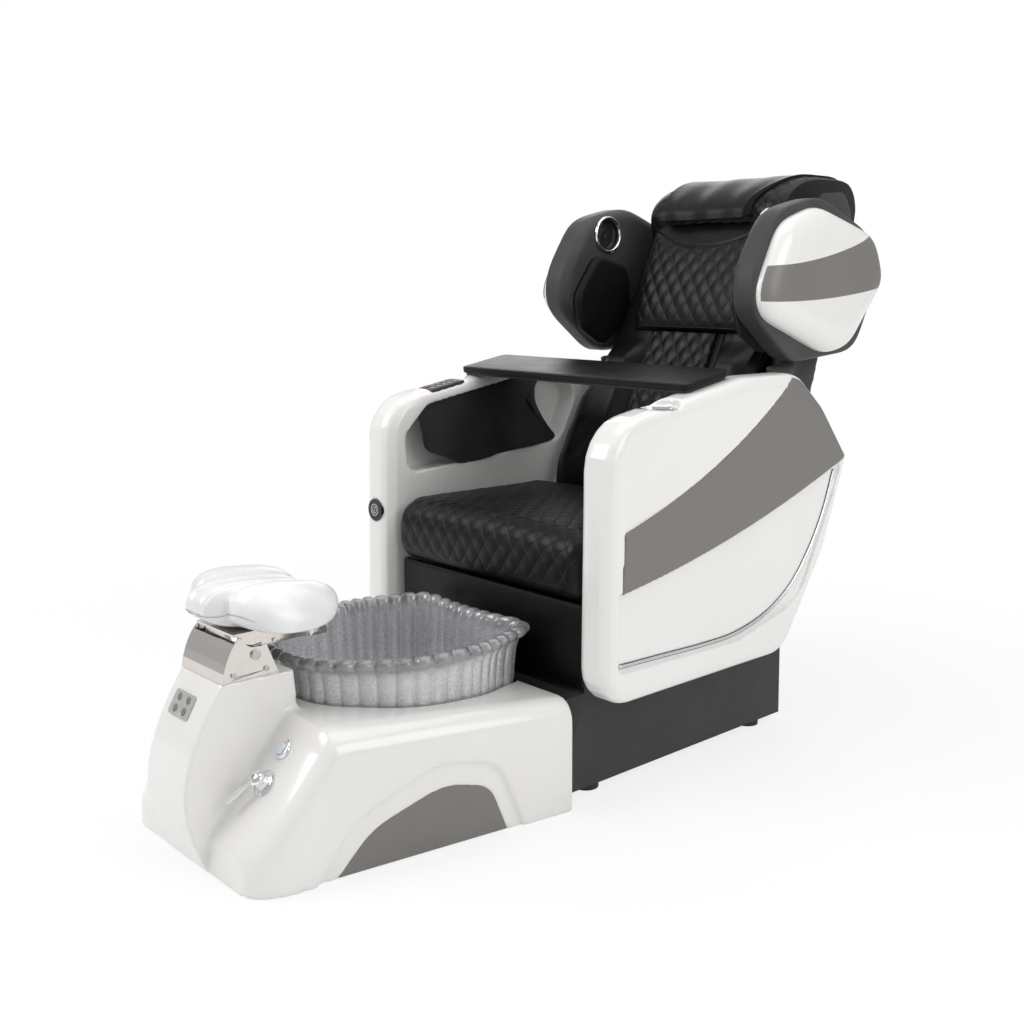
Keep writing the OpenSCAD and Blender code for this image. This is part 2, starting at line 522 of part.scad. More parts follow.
module apron() color([0.06, 0.06, 0.07]) prism_x(rounded([[58, deck_z + 2, 2], [72 - gap, deck_z + 2, 2], [72 - gap, seat_z - 1.5, 2],
  [52, seat_z - 1.5, 3], [50, seat_z - 60, 60]], 3), -seat_hw + 4, seat_hw - 4);
module rear_ports() color([0.72, 0.6, 0.35]) {
  for (x = [-70, 70]) translate([x, box_len - 30, 92]) rotate([-90, 0, 0]) {
    cylinder(r = 10.4, h = 60);
    translate([0, 0, 30 + gap]) cylinder(r = 17, h = 5, $fn = 6);
  }
  translate([-170, box_len - 30, 80]) rotate([-90, 0, 0]) difference() {
    union() { cylinder(r = 19, h = 70); translate([0, 0, 30 + gap]) cylinder(r = 27, h = 6); }
    translate([0, 0, -1]) cylinder(r = 16, h = 80);
  }
  translate([190, box_len - 20, 80]) rotate([-90, 0, 0]) {
    cylinder(r = 13, h = 20);
    translate([0, 0, 20 + gap]) cylinder(r = 19, h = 12);
  }
}
module arm_mounts() color([0.2, 0.2, 0.2]) both() for (y = [150, 470]) translate([box_hw + gap, y, arm_low + 26]) cube([box_gap - 2 * gap, 90, 110]);

// ---------- arms ----------
module arm_a() color([0.93, 0.92, 0.9]) difference() {
  union() {
    arm_shell();
    translate([cup_x, cup_y, cup_top - 17]) cylinder(r = 44, h = 17);
  }
  translate([cup_x, cup_y, cup_top]) cylinder(r = 44.5, h = 60);
  translate([cup_x, cup_y, cup_top - cup_depth - 4]) cylinder(r = cup_r + 3.2, h = 200);
  on_arm(tray_piv_x, tray_piv_y) translate([0, 0, -44]) cylinder(r = tray_pin_r + 0.05, h = 60);
}
module arm_b() color([0.93, 0.92, 0.9]) difference() {
  mirror([1, 0, 0]) arm_shell();
  on_arm(remote_x, remote_y) translate([-28.3, -51.3, -12]) cube([56.6, 102.6, 40]);
  translate([power_x, arm_front - 1, power_z]) rotate([-90, 0, 0]) cylinder(r = power_r + 5.3, h = 26);
}
module arm_stripes() color([0.53, 0.52, 0.5]) both() intersection() {
  arm_core();
  prism_x(stripe, arm_out - stripe_t, arm_out + 5);
}
module arm_trims() color([0.75, 0.75, 0.78]) both() difference() {
  prism_x(rounded(inset(panel, 4), 6), arm_out - panel_d + gap, arm_out - panel_d + 9);
  prism_x(rounded(inset(panel, 11), 6), arm_out - panel_d - 5, arm_out);
  prism_x([[40, 310], [600, 470], [792, 604], [900, 640], [900, 900], [0, 900], [0, 310]], arm_out - panel_d - 5, arm_out);
}
curtain = [[112, 716, 6], [134, 650, 14], [205, 619, 14], [250, 600, 16], [566, 634, 8], [548, 662, 16], [498, 704, 16], [457, 748, 10],
  [540, 800, 8], [540, 830, 8], [440, 830, 20], [112, 770, 10]];
module arm_curtains() color([0.05, 0.05, 0.055]) both() intersection() {
  prism_x(rounded(curtain, 3), arm_in + 1, arm_in + 8);
  prism_x(rounded(inset(bay, gap)), arm_in, arm_in + 9);
}
module cup_insert() color([0.8, 0.8, 0.82]) translate([cup_x, cup_y, cup_top]) rotate_extrude() polygon([[0, -cup_depth - 2], [cup_r + 2, -cup_depth - 2],
  [cup_r + 2, gap], [41, gap], [41, 1.4], [cup_r + 1, 2.2], [cup_r, 1.4], [cup_r, -cup_depth], [0, -cup_depth]]);
module remote_panel() color([0.09, 0.09, 0.1]) on_arm(remote_x, remote_y) difference() {
  translate([-28, -51, -12 + gap]) cube([56, 102, 9.7]);
  for (i = [0:9]) translate([(i % 2 - 0.5) * 24, (floor(i / 2) - 2) * 18, 0]) translate([-8, -5, -3.2]) cube([16, 10, 5]);
}
module remote_keys() color([0.3, 0.3, 0.32]) on_arm(remote_x, remote_y)
  for (i = [0:9]) translate([(i % 2 - 0.5) * 24, (floor(i / 2) - 2) * 18, 0]) translate([-7.7, -4.7, -3.2]) cube([15.4, 9.4, 2.4]);
module power_bezel() color([0.05, 0.05, 0.05]) translate([power_x, arm_front - 2.2 - gap + 3, power_z]) rotate([-90, 0, 0]) difference() {
  union() {
    cylinder(r = power_r + 9, h = 2.2);
    cylinder(r = power_r + 5, h = 22);
  }
  translate([0, 0, -1]) cylinder(r = power_r + 0.4, h = 20);
}
module power_button() color([0.1, 0.1, 0.1]) translate([power_x, arm_front + 0.2, power_z]) rotate([-90, 0, 0]) difference() {
  cylinder(r = power_r, h = 15);
  translate([0, 0, -0.1]) rotate_extrude() polygon([[power_r - 7, 0], [power_r - 5.6, 0], [power_r - 5.6, 0.5], [power_r - 7, 0.5]]);
}

// ---------- seat ----------
module seat_rails() color([0.5, 0.5, 0.52]) both() translate([lug_x - 66, 100, rail_z]) cube([30, 600, 12]);
module seat_frame() color([0.15, 0.15, 0.15]) difference() {
  union() {
    translate([16 - lug_x, 74 + slide_travel + 6, frame_z]) cube([2 * (lug_x - 16), 360, frame_t]);
    both() {
      translate([lug_x - 56, 540, frame_z]) cube([54, 150, 10]);
      translate([lug_x - 14, 560, frame_z]) cube([12, 130, hinge_z - frame_z]);
      translate([0, hinge_y, hinge_z]) rod_x(24, lug_x - 14, lug_x - 2);
    }
  }
  translate([0, hinge_y, hinge_z]) rod_x(hinge_r - 0, -400, 400);
}
// cushion: quilted top and front roll, sides drawn in towards the ends
seat_pts = [[seat_rear, seat_z, 8], [seat_rear, seat_z + seat_t, 34], [seat_front, seat_z + seat_t, 62], [seat_front + 8, seat_z, 44]];
q_n = 24;
q_len = seat_rear - seat_front;
// top and front of the side profile at equal steps, s from 0 at the rear edge to 1 under the front roll
function seat_prof(s) = let(L = q_len - 62 + 97 + 40 + 70, d = s * L,
    a1 = q_len - 62, a2 = a1 + 97, a3 = a2 + seat_t - 62 - 44)
  d < a1 ? [seat_rear - d, seat_z + seat_t] :
  d < a2 ? let(t = (d - a1) / 97 * 90) [seat_front + 62 - 62 * sin(t), seat_z + seat_t - 62 + 62 * cos(t)] :
  d < a3 ? [seat_front, seat_z + seat_t - 62 - (d - a2)] :
  let(t = min(90, (d - a3) / 69 * 90)) [seat_front + 44 - 44 * cos(t), seat_z + 44 - 44 * sin(t)];
function seat_ring(i, n) = let(x = lerp(-1, 1, i / n), e = 1 - pow(abs(x), 8), pull = 15 * (1 - e), crown = 7 * (1 - x * x))
  concat(
    [for (k = [0:q_n]) let(s = k / q_n, p = seat_prof(s), c = [seat_rear * 0.35 + seat_front * 0.65, seat_z + seat_t * 0.5],
        q = (i + k) % 2 == 0 ? -tuft / 2 : tuft / 2, top = 1 - ease(0.6, 0.8, s),
        nrm = k < 14 ? [0, 1] : unit(p - [seat_front + 70, seat_z + seat_t * 0.5]), sw = sin(180 * min(1, max(0, (s - 0.0) / 1.0))))
      [x * seat_hw, p[0] + nrm[0] * (q * sw - pull * (1 - top)), p[1] + nrm[1] * (q * sw - pull * 0.6) + crown * top * sw]],
    [for (k = [1:5]) [x * seat_hw, lerp(seat_front + 44, seat_rear, k / 6), seat_z]],
    [[x * seat_hw, seat_rear, seat_z], [x * seat_hw, seat_rear, seat_z + 50], [x * seat_hw, seat_rear, seat_z + 100]]);
module seat_cushion() color([0.07, 0.07, 0.08]) loft([for (i = [0:20]) seat_ring(i, 20)]);

// ---------- back ----------
module recline_pins() color([0.6, 0.6, 0.62]) translate([0, hinge_y, hinge_z]) both() rod_x(hinge_r - 0.05, lug_x - 20, lug_x + 24);
module back_hinge() color([0.2, 0.2, 0.2]) difference() {
  both() {
    translate([0, hinge_y, hinge_z]) rod_x(24, lug_x, lug_x + 12);
    prism_x([[hinge_y - 22, hinge_z], [hinge_y + 22, hinge_z - 6], [hinge_y + 70, 585], [hinge_y + 10, 592], [hinge_y - 12, 540]], lug_x, lug_x + 12);
  }
  translate([0, hinge_y, hinge_z]) rod_x(hinge_r, -400, 400);
}
shell_out = rounded(shell_side, 5);
module back_shell() color([0.28, 0.28, 0.285]) difference() {
  union() {
  // cheeks beside the bolsters, under the wings
  both() prism_x(rounded([[706, 812, 22], [686, 858, 6], [815, 858, 6], [790, 812, 6]], 5), wing_in - 6, back_hw - 8);
  loft([for (k = [-5:5]) let(s = sign(k), t = abs(k) / 5, d = k == 0 ? 0 : 30 * (1 - sqrt(max(0, 1 - pow(t, 6)))))
    [for (p = rounded(inset(shell_side, d), 5)) [s * t * shell_hw(p[1]), p[0], p[1]]]]);
  }
  // slots for the hinge lugs
  both() translate([lug_x - gap, hinge_y - 60, 490]) cube([12 + 2 * gap, 150, 110]);
}
// brackets between the back's sides and the wings
module wing_mounts() color([0.2, 0.2, 0.2]) both() for (z = [960, 1070]) translate([0, 880 + (z - 960) * 0.5, z])
  prism_x([[-28, -20], [28, -20], [28, 20], [-28, 20]], shell_hw(z - 20) + 1, wing_in - gap);
// padded back with side bolsters, drawn up the back in its own frame
back_z0 = 556;
back_len = 760;
function bolster(x, w) = 34 * ease(112, 160, abs(x)) * (1 - 0.5 * ease(w - 40, w, abs(x)));
// columns over the half width: flat to the channel's edge, then over the bolster
function bol_x(k, w) = k < 3 ? [0, 60, 111][k] : lerp(112, w, [0.14, 0.32, 0.54, 0.76, 0.92, 1][k - 3]);
module back_cushion() color([0.07, 0.07, 0.08]) on_back(545) loft([for (k = [0:13]) let(v = [0, 0.015, 0.05, 0.12, 0.22, 0.34, 0.44, 0.53, 0.7, 0.8, 0.88, 0.94, 0.975, 1][k],
    w = look([[0, back_hw - 4], [0.3, back_hw - 8], [0.42, wing_in - 28], [0.7, wing_in - 30], [1, head_hw + 4]], v), y = 12 + v * back_len,
    end = sqrt(max(0.03, 1 - pow(max(0, (0.05 - v) / 0.05), 2))) * sqrt(max(0.05, 1 - pow(max(0, (v - 0.86) / 0.14), 2))),
    top = ease(0.42, 0.53, v))
  concat([for (i = [0:16]) let(x = sign(i - 8) * bol_x(abs(i - 8), w)) [x, y, -12 - 44 * (1 - end) + bolster(x, w) * (1 - top) * end]],
    [for (i = [0:8]) let(x = w * (1 - i / 4)) [x * 0.98, y, lerp(-62, -51, ease(0.28, 0.5, v))]])]);
// quilted panel in the channel between the bolsters
pan_n = 14;
module back_panel() color([0.07, 0.07, 0.08]) on_back(545) loft([for (k = [0:pan_n]) let(v = k / pan_n, y = 24 + v * 402, e = sin(180 * lerp(0.04, 0.96, v)))
  concat([for (i = [0:8]) let(x = 104 * lerp(-1, 1, i / 8), q = (i + k) % 2 == 0 ? -tuft / 2 : tuft / 2, ex = (i == 0 || i == 8) ? 0 : 1)
      [x, y, -10 + (8 + q) * min(1, e * 3) * ex]],
    [[104, y, -11.7], [-104, y, -11.7]])]);
// pillow: smooth cap above, diamonds below
module head_pillow() color([0.07, 0.07, 0.08]) on_back(545) loft([for (k = [0:14]) let(v = k / 14, y = 428 + v * 322, w = 184 - 10 * pow(abs(2 * v - 1), 3) + 22 * v,
    e = pow(max(0.0, sin(180 * lerp(0.02, 0.98, v))), 0.5))
  concat([for (i = [0:14]) let(x = w * lerp(-1, 1, i / 14), q = v < 0.6 ? ((i + k) % 2 == 0 ? -tuft / 2 : tuft / 2) : 0,
        ex = pow(max(0, 1 - pow(abs(x) / w, 6)), 0.5), back = 6 * ease(0.6, 1, v)) [x, y, -11.7 + 8 + (38 + 14 * v - back) * ex * pow(e, 0.7) + q * ex * e]],
    [[w, y, -11.7], [0, y, -11.7], [-w, y, -11.7]])]);
// cloth flap laid over the top of the back
flap_path = [[812, 1238], [834, 1264], [870, 1288], [915, 1304], [968, 1312], [1036, 1310.6], [1096, 1309.4], [1132, 1299], [1156, 1272], [1166, 1238]];
function flap_n(k) = let(d = unit(flap_path[min(9, k + 1)] - flap_path[max(0, k - 1)])) [-d[1], d[0]];
module head_flap() color([0.05, 0.05, 0.055]) loft([for (i = [0:10]) let(x = lerp(-head_hw + 2, head_hw - 2, i / 10), sag = 1 + cos(i * 72))
  concat([for (k = [9:-1:0]) let(p = flap_path[k] + flap_n(k) * (4 + sag)) [x, p[0], p[1]]], [for (k = [0:9]) let(p = flap_path[k] + flap_n(k) * (k > 3 && k < 7 ? 0 : sag)) [x, p[0], p[1]]])]);

// ---------- wings ----------
module wing_body() difference() {
  loft(concat(
    [for (k = [0:3]) at_x(rounded(inset(wing_pts, 26 * (1 - sin(k * 30))), 4), wing_in + 26 * (1 - cos(k * 30)))],
    [at_x(rounded(inset(wing_pts, 0), 4), wing_mid - 8), at_x(rounded(inset(wing_pts, 3), 4), wing_mid - 2), at_x(rounded(inset(wing_pts, 8), 4), wing_mid)]));
  translate([0, speaker_y, speaker_z]) rod_x(speaker_r - 4, wing_in - 5, wing_in + 22);
}
module wing_a() color([0.3, 0.3, 0.305]) wing_body();
module wing_b() color([0.3, 0.3, 0.305]) mirror([1, 0, 0]) wing_body();
module shell_body() difference() {
  dome();
  prism_x(wing_stripe, wing_mid + 14, wing_out + 9);
}
module wing_shell_a() color([0.93, 0.92, 0.9]) shell_body();
module wing_shell_b() color([0.93, 0.92, 0.9]) mirror([1, 0, 0]) shell_body();
module wing_stripes() color([0.53, 0.52, 0.5]) both() intersection() {
  dome();
  prism_x(wing_stripe, wing_mid + 14 + gap, wing_out + 9);
}
module speakers() color([0.5, 0.5, 0.52]) both() translate([wing_in, speaker_y, speaker_z]) rotate([0, 90, 0]) rotate_extrude() polygon([[0, 12],
  [8, 9], [speaker_r - 12, 14], [speaker_r - 7, 8], [speaker_r - 7, -1], [speaker_r - 3, -4], [speaker_r + 2, -3], [speaker_r + 3, -gap],
  [speaker_r - 4.5, -gap], [speaker_r - 4.5, 20], [0, 20]]);
air_pts = [[612, 930, 20], [690, 884, 22], [790, 968, 26], [772, 1084, 26], [660, 1112, 26], [586, 1010, 40]];
module airbags() color([0.05, 0.05, 0.055]) both() loft([for (k = [0:3]) at_x(rounded(inset(air_pts, k == 3 ? 0 : 16 * (1 - sin(k * 30 + 10))), 3), wing_in - 20 + [0, 4, 10, 20 - gap][k])]);

// ---------- tray ----------
module tray_frame() translate([0, tray_y, arm_top(tray_y)]) rotate([arm_slope, 0, 0]) children();
module tray_board() color([0.1, 0.1, 0.1]) tray_frame() difference() {
  translate([0, 0, gap]) linear_extrude(tray_board_t) tray_outline(5, 12);
  translate([tray_piv_x, (tray_piv_y - tray_y) / cos(arm_slope), -5]) cylinder(r = tray_pin_r - 2.9, h = 30);
}
module tray_pad() color([0.07, 0.07, 0.08]) tray_frame() loft([for (k = [0:6]) let(t = [0, 0.08, 0.25, 0.6, 0.82, 0.95, 1][k],
    d = [2, 0, 0, 0, 1.6, 5, 12][k]) [for (p = rounded([[-tray_len / 2 + d, -tray_w / 2 + d, 14 - d * 0.8], [tray_len / 2 - d, -tray_w / 2 + d, 14 - d * 0.8],
    [tray_len / 2 - d, tray_w / 2 - d, 14 - d * 0.8], [-tray_len / 2 + d, tray_w / 2 - d, 14 - d * 0.8]], 4)) [p[0], p[1], gap + tray_board_t + gap + t * tray_pad_t]]]);
module tray_pivot() color([0.6, 0.6, 0.62]) on_arm(tray_piv_x, tray_piv_y) {
  translate([0, 0, -40]) cylinder(r = tray_pin_r, h = 40 + gap);
  cylinder(r = tray_pin_r - 3, h = gap + tray_board_t);
}

tub_body();
arch_panels();
bowl();
drain_fitting();
footrest_bracket();
bracket_bolts();
footrest_pin();
footrest_carrier();
footrest_pad();
tap_base();
tap_cap();
tap_lever();
jet_bezel();
jet_button();
key_plate();
key_1();
key_2();
key_3();
key_4();
base_box();
box_feet();
apron();
rear_ports();
arm_mounts();
arm_a();
arm_b();
arm_stripes();
arm_trims();
arm_curtains();
cup_insert();
remote_panel();
remote_keys();
power_bezel();
power_button();
seat_rails();
seat_frame();
seat_cushion();
recline_pins();
back_hinge();
back_shell();
back_cushion();
back_panel();
head_pillow();
head_flap();
wing_a();
wing_b();
wing_shell_a();
wing_shell_b();
wing_stripes();
speakers();
airbags();
wing_mounts();
tray_board();
tray_pad();
tray_pivot();
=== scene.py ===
"""Pedicure spa chair: finishes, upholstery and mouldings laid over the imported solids."""
import math

import bpy
import bmesh
import numpy as np
from bpy.props import FloatProperty, FloatVectorProperty, IntProperty, PointerProperty
from bpy.types import Operator, Panel, PropertyGroup
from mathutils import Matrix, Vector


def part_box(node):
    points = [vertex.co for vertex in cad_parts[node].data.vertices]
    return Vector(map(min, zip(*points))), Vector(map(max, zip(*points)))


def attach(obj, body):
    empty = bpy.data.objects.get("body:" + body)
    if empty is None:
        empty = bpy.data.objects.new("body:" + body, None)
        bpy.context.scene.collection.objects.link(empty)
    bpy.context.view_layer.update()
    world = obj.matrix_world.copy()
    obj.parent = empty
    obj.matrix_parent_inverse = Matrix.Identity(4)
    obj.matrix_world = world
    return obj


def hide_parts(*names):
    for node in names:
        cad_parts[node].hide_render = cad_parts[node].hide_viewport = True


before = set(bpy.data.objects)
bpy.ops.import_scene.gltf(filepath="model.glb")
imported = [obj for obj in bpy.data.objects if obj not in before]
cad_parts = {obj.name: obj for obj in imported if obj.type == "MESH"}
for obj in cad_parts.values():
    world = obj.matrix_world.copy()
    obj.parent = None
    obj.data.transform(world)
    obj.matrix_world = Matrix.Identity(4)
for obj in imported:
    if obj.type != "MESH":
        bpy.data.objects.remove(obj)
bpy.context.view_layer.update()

bl_info = {
    "name": "Pedicure Spa Chair",
    "version": (1, 0, 0),
    "blender": (4, 5, 0),
    "location": "View3D > Sidebar > Spa Chair",
    "description": "Builds the finishes, mouldings and upholstery of a pedicure spa chair",
    "category": "Object",
}

MM = 0.001
PI = math.pi
ARM_SLOPE = math.radians(10.26)  # rise of the arms' tops towards the back
ARM_Y, ARM_Z = 24, 768  # where the arms' tops start, mm
ARM_MID, ARM_FACE = 312.0, 389.6  # x of the forearm cloths and of the strips on the arms' outer faces, mm
BOWL_Y = -176  # middle of the bowl in y, mm
BOWL_HALF, BOWL_REAR, BOWL_FRONT = 228, 198, 290  # its rim's reach from there, mm
DECK_Z, TOE_Y, TOE_Z = 262.0, -646, 84  # bath's deck, and the foot of its nose's slope, mm
NOSE_SLOPE = math.tan(math.radians(51))
NOSE_TOP = TOE_Y + (DECK_Z - TOE_Z) / NOSE_SLOPE  # y where that slope meets the deck, mm
LEAN = math.atan(0.49)  # lean of the back from upright
BACK_Y, BACK_Z = 530, 545  # where the back's own axes start, mm
PILLOW = 428.0, 752.0  # head pillow's lower and upper edge along the back, mm


# ---------------------------------------------------------------- curves and fields
def ease(a, b, x):
    """Smooth step: 0 below a, 1 above b, 3t^2 - 2t^3 between."""
    t = np.clip((np.asarray(x, float) - a) / (b - a), 0, 1)
    return t * t * (3 - 2 * t)


def unit(v):
    """Vectors scaled to length 1."""
    return v / np.maximum(np.linalg.norm(v, axis=-1, keepdims=True), 1e-9)


def bell(x, mid, width):
    """Bell curve: 1 at mid, exp(-1) one width away."""
    return np.exp(-(((x - mid) / width) ** 2))


def grid(*xyz):
    """Three coordinate fields, broadcast and stacked into points."""
    return np.stack(np.broadcast_arrays(*xyz), -1)


def arc_length(P):
    """Length along the open polyline P at each of its points."""
    return np.r_[0, np.cumsum(np.linalg.norm(np.diff(P, axis=0), axis=1))]


def turns(n):
    """n equal steps round a circle."""
    return np.linspace(0, 2 * PI, n, endpoint=False)


def fillets(corners, n=10):
    """Outline through [a, b, radius] corners, each drawn as a tangent arc of n steps."""
    c = np.asarray(corners, float)
    out = []
    for i in range(len(c)):
        b, r = c[i, :2], c[i, 2]
        u, v = unit(c[i - 1, :2] - b), unit(c[(i + 1) % len(c), :2] - b)
        h = math.acos(np.clip(u @ v, -1, 1)) / 2
        o = b + unit(u + v) * r / math.sin(h)
        s, e = b + u * r / math.tan(h) - o, b + v * r / math.tan(h) - o
        t0 = math.atan2(s[1], s[0])
        dt = (math.atan2(e[1], e[0]) - t0 + 3 * PI) % (2 * PI) - PI
        t = t0 + dt * np.linspace(0, 1, n + 1)
        out.append(o + r * np.stack((np.cos(t), np.sin(t)), -1))
    return np.concatenate(out)


def even(P, n, closed=True):
    """n points at equal steps of arc length along the polyline P."""
    Q = np.vstack((P, P[:1])) if closed else np.asarray(P, float)
    d = arc_length(Q)
    s = np.linspace(0, d[-1], n, endpoint=not closed)
    return np.stack([np.interp(s, d, Q[:, k]) for k in range(Q.shape[1])], -1)


def spline(P, n):
    """Catmull-Rom curve through the rows of P, n points in all."""
    P = np.asarray(P, float)
    m = len(P) - 1
    t = np.linspace(0, m, n)
    i = np.minimum(t.astype(int), m - 1)
    f = (t - i)[:, None]
    E = np.vstack((2 * P[:1] - P[1:2], P, 2 * P[-1:] - P[-2:-1]))
    a, b, c, d = E[i], E[i + 1], E[i + 2], E[i + 3]
    return 0.5 * (2 * b + (c - a) * f + (2 * a - 5 * b + 4 * c - d) * f**2 + (3 * b - a - 3 * c + d) * f**3)


def wander(x, y, seed=0):
    """Smooth value noise, -1 to 1: hashed lattice values blended with a smooth step."""
    x, y = np.broadcast_arrays(np.asarray(x, float), np.asarray(y, float))
    i, j = np.floor(x), np.floor(y)
    fx, fy = x - i, y - j
    fx, fy = fx * fx * (3 - 2 * fx), fy * fy * (3 - 2 * fy)

    def at(a, b):
        """Hashed value of a lattice point, -1 to 1."""
        h = np.sin(a * 127.1 + b * 311.7 + seed * 74.7) * 43758.5453
        return (h - np.floor(h)) * 2 - 1

    lower = at(i, j) * (1 - fx) + at(i + 1, j) * fx
    upper = at(i, j + 1) * (1 - fx) + at(i + 1, j + 1) * fx
    return lower * (1 - fy) + upper * fy


def quilt(u, v, sharp=0.3):
    """Diamond quilting. u and v count cells; the sewn lines are where u + v and u - v are whole.
    Height is a power of the product of the distances to both families, 0 on a line and 1 mid-cell."""
    a, b = u + v, u - v
    da, db = np.abs(a - np.round(a)) * 2, np.abs(b - np.round(b)) * 2
    return (da * db) ** sharp, a, b


def inside_by(P, y, z):
    """Signed distance of the points to the closed outline P, positive inside it."""
    y, z = np.broadcast_arrays(np.asarray(y, float), np.asarray(z, float))
    q = np.stack((y.ravel(), z.ravel()), -1)
    best, odd = np.full(len(q), 1e9), np.zeros(len(q), bool)
    for a, b in zip(P, np.roll(P, -1, 0)):
        d = b - a
        t = np.clip(((q - a) @ d) / max(d @ d, 1e-9), 0, 1)
        best = np.minimum(best, np.hypot(*(q - a - t[:, None] * d).T))
        spans = (a[1] > q[:, 1]) != (b[1] > q[:, 1])
        odd ^= spans & (q[:, 0] < a[0] + (q[:, 1] - a[1]) / (d[1] or 1e-9) * d[0])
    return np.where(odd, best, -best).reshape(y.shape)


def soften(P, k):
    """Closed outline eased twice by a running mean of k points, so straight runs bow into the corners."""
    for _ in range(2):
        P = np.vstack((P[-k:], P, P[:k]))
        P = np.stack([np.convolve(P[:, i], np.ones(k) / k, "same")[k:-k] for i in (0, 1)], -1)
    return P


def inwards(P):
    """Unit normals of a closed outline, pointing into it."""
    t = unit(np.roll(P, -1, 0) - np.roll(P, 1, 0))
    n = np.stack((-t[:, 1], t[:, 0]), -1)
    return n if inside_by(P, *(P[0] + n[0])) > 0 else -n


def lifted(path, lift):
    """Offsets an open path to its left by a field lift[m, n]; gives both coordinate fields."""
    t = unit(np.gradient(path, axis=0))
    return path[:, 0] - t[:, 1] * lift, path[:, 1] + t[:, 0] * lift


def bow(a, b, c, n):
    """Quadratic curve from a over b to c."""
    t = np.linspace(0, 1, n)[:, None]
    return np.array(a) * (1 - t) ** 2 + np.array(b) * 2 * t * (1 - t) + np.array(c) * t * t


# ---------------------------------------------------------------- meshes
def out_and_back(A, B):
    """Rings that run out over the face A and back over the face B."""
    return np.concatenate((A, B[:, ::-1]), 1)


def lay(name, co, faces, marks=None, crease=None):
    """Makes a smooth-shaded mesh object from points in metres and faces, turned to face outwards."""
    co = np.asarray(co, float)
    tri = np.array([f[:3] for f in faces] + [(f[0], f[2], f[3]) for f in faces if len(f) == 4])
    a, b, c = co[tri[:, 0]], co[tri[:, 1]], co[tri[:, 2]]
    if np.einsum("ij,ij->i", a, np.cross(b, c)).sum() < 0:
        faces = [f[::-1] for f in faces]
    me = bpy.data.meshes.new(name)
    me.from_pydata(co.tolist(), [], faces)
    if marks is not None:
        at = me.attributes.new("stitch", "FLOAT_VECTOR", "POINT")
        at.data.foreach_set("vector", np.asarray(marks, np.float32).ravel())
    me.shade_smooth()
    if crease:
        me.set_sharp_from_angle(angle=math.radians(crease))
    o = bpy.data.objects.new(name, me)
    bpy.context.scene.collection.objects.link(o)
    return o


def skin(P, marks=None):
    """Closed skin through rings P[m, n, 3], each end closed by a fan to its mean point."""
    m, n = P.shape[:2]
    i, j = (a.ravel() for a in np.meshgrid(np.arange(m - 1), np.arange(n), indexing="ij"))
    k = (j + 1) % n
    quads = np.stack((i * n + j, (i + 1) * n + j, (i + 1) * n + k, i * n + k), -1).tolist()
    q = np.arange(n)
    after, last, pole = (q + 1) % n, (m - 1) * n, np.full(n, m * n)
    fans = np.concatenate((np.stack((pole, q, after), -1), np.stack((pole + 1, last + after, last + q), -1)))
    co = np.vstack((P.reshape(-1, 3), P[0].mean(0), P[-1].mean(0)))
    if marks is not None:
        marks = np.vstack((marks.reshape(-1, 3), marks[0].mean(0), marks[-1].mean(0)))
    return co, quads + fans.tolist(), marks


def ring_skin(P):
    """Skin closed both ways through P[m, n, 3], as on a torus."""
    m, n = P.shape[:2]
    i, j = (a.ravel() for a in np.meshgrid(np.arange(m), np.arange(n), indexing="ij"))
    i_next, k = (i + 1) % m, (j + 1) % n
    return P.reshape(-1, 3), np.stack((i * n + j, i_next * n + j, i_next * n + k, i * n + k), -1).tolist()


def cord_of(path, r, n=8, closed=False):
    """Round tube of radius r along path; its rings stand square to the path's tangent."""
    path = np.asarray(path, float)
    t = unit(np.roll(path, -1, 0) - np.roll(path, 1, 0)) if closed else unit(np.gradient(path, axis=0))
    up = np.array([0.31, 0.17, 0.94])
    a = unit(np.cross(t, up))
    b = np.cross(t, a)
    w = turns(n)[None, :, None]
    P = path[:, None] + r * (a[:, None] * np.cos(w) + b[:, None] * np.sin(w))
    if closed:
        return ring_skin(P)
    co, f, _ = skin(P)
    return co, f


def joined(*parts):
    """One point and face list from several."""
    co, faces, base = [], [], 0
    for c, f in parts:
        co.append(np.asarray(c))
        faces += [[v + base for v in q] for q in f]
        base += len(c)
    return np.vstack(co), faces


def faced_out(*parts):
    """Joins closed parts, each first turned to face outwards, into one set of points and faces."""
    co, faces, n = [], [], 0
    for part in parts:
        o = lay("loose", *part)
        faces += [[v + n for v in f.vertices] for f in o.data.polygons]
        co.append(points(o))
        n += len(co[-1])
        bpy.data.objects.remove(o)
    return np.vstack(co), faces


def settle(obj, body, finish, nodes=()):
    """Gives a finished piece its material and body, and hides the solids it stands for."""
    obj.data.materials.clear()
    obj.data.materials.append(finish)
    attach(obj, body)
    if nodes:
        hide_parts(*nodes)
    return obj


def padded(name, P, marks, body, finish, nodes):
    """Closed padded piece through rings of points in metres."""
    o = settle(lay(name, *skin(P, marks)), body, finish, nodes)
    return o


def welded(node, name):
    """Copy of a solid's mesh with its loose triangles joined."""
    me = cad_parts[node].data.copy()
    me.name = name
    bm = bmesh.new()
    bm.from_mesh(me)
    bmesh.ops.remove_doubles(bm, verts=bm.verts, dist=2e-6)
    bm.to_mesh(me)
    bm.free()
    o = bpy.data.objects.new(name, me)
    bpy.context.scene.collection.objects.link(o)
    return o


def baked(o):
    """Applies the object's modifiers."""
    dg = bpy.context.evaluated_depsgraph_get()
    me = bpy.data.meshes.new_from_object(o.evaluated_get(dg))
    old = o.data
    o.modifiers.clear()
    o.data = me
    bpy.data.meshes.remove(old)
    return o


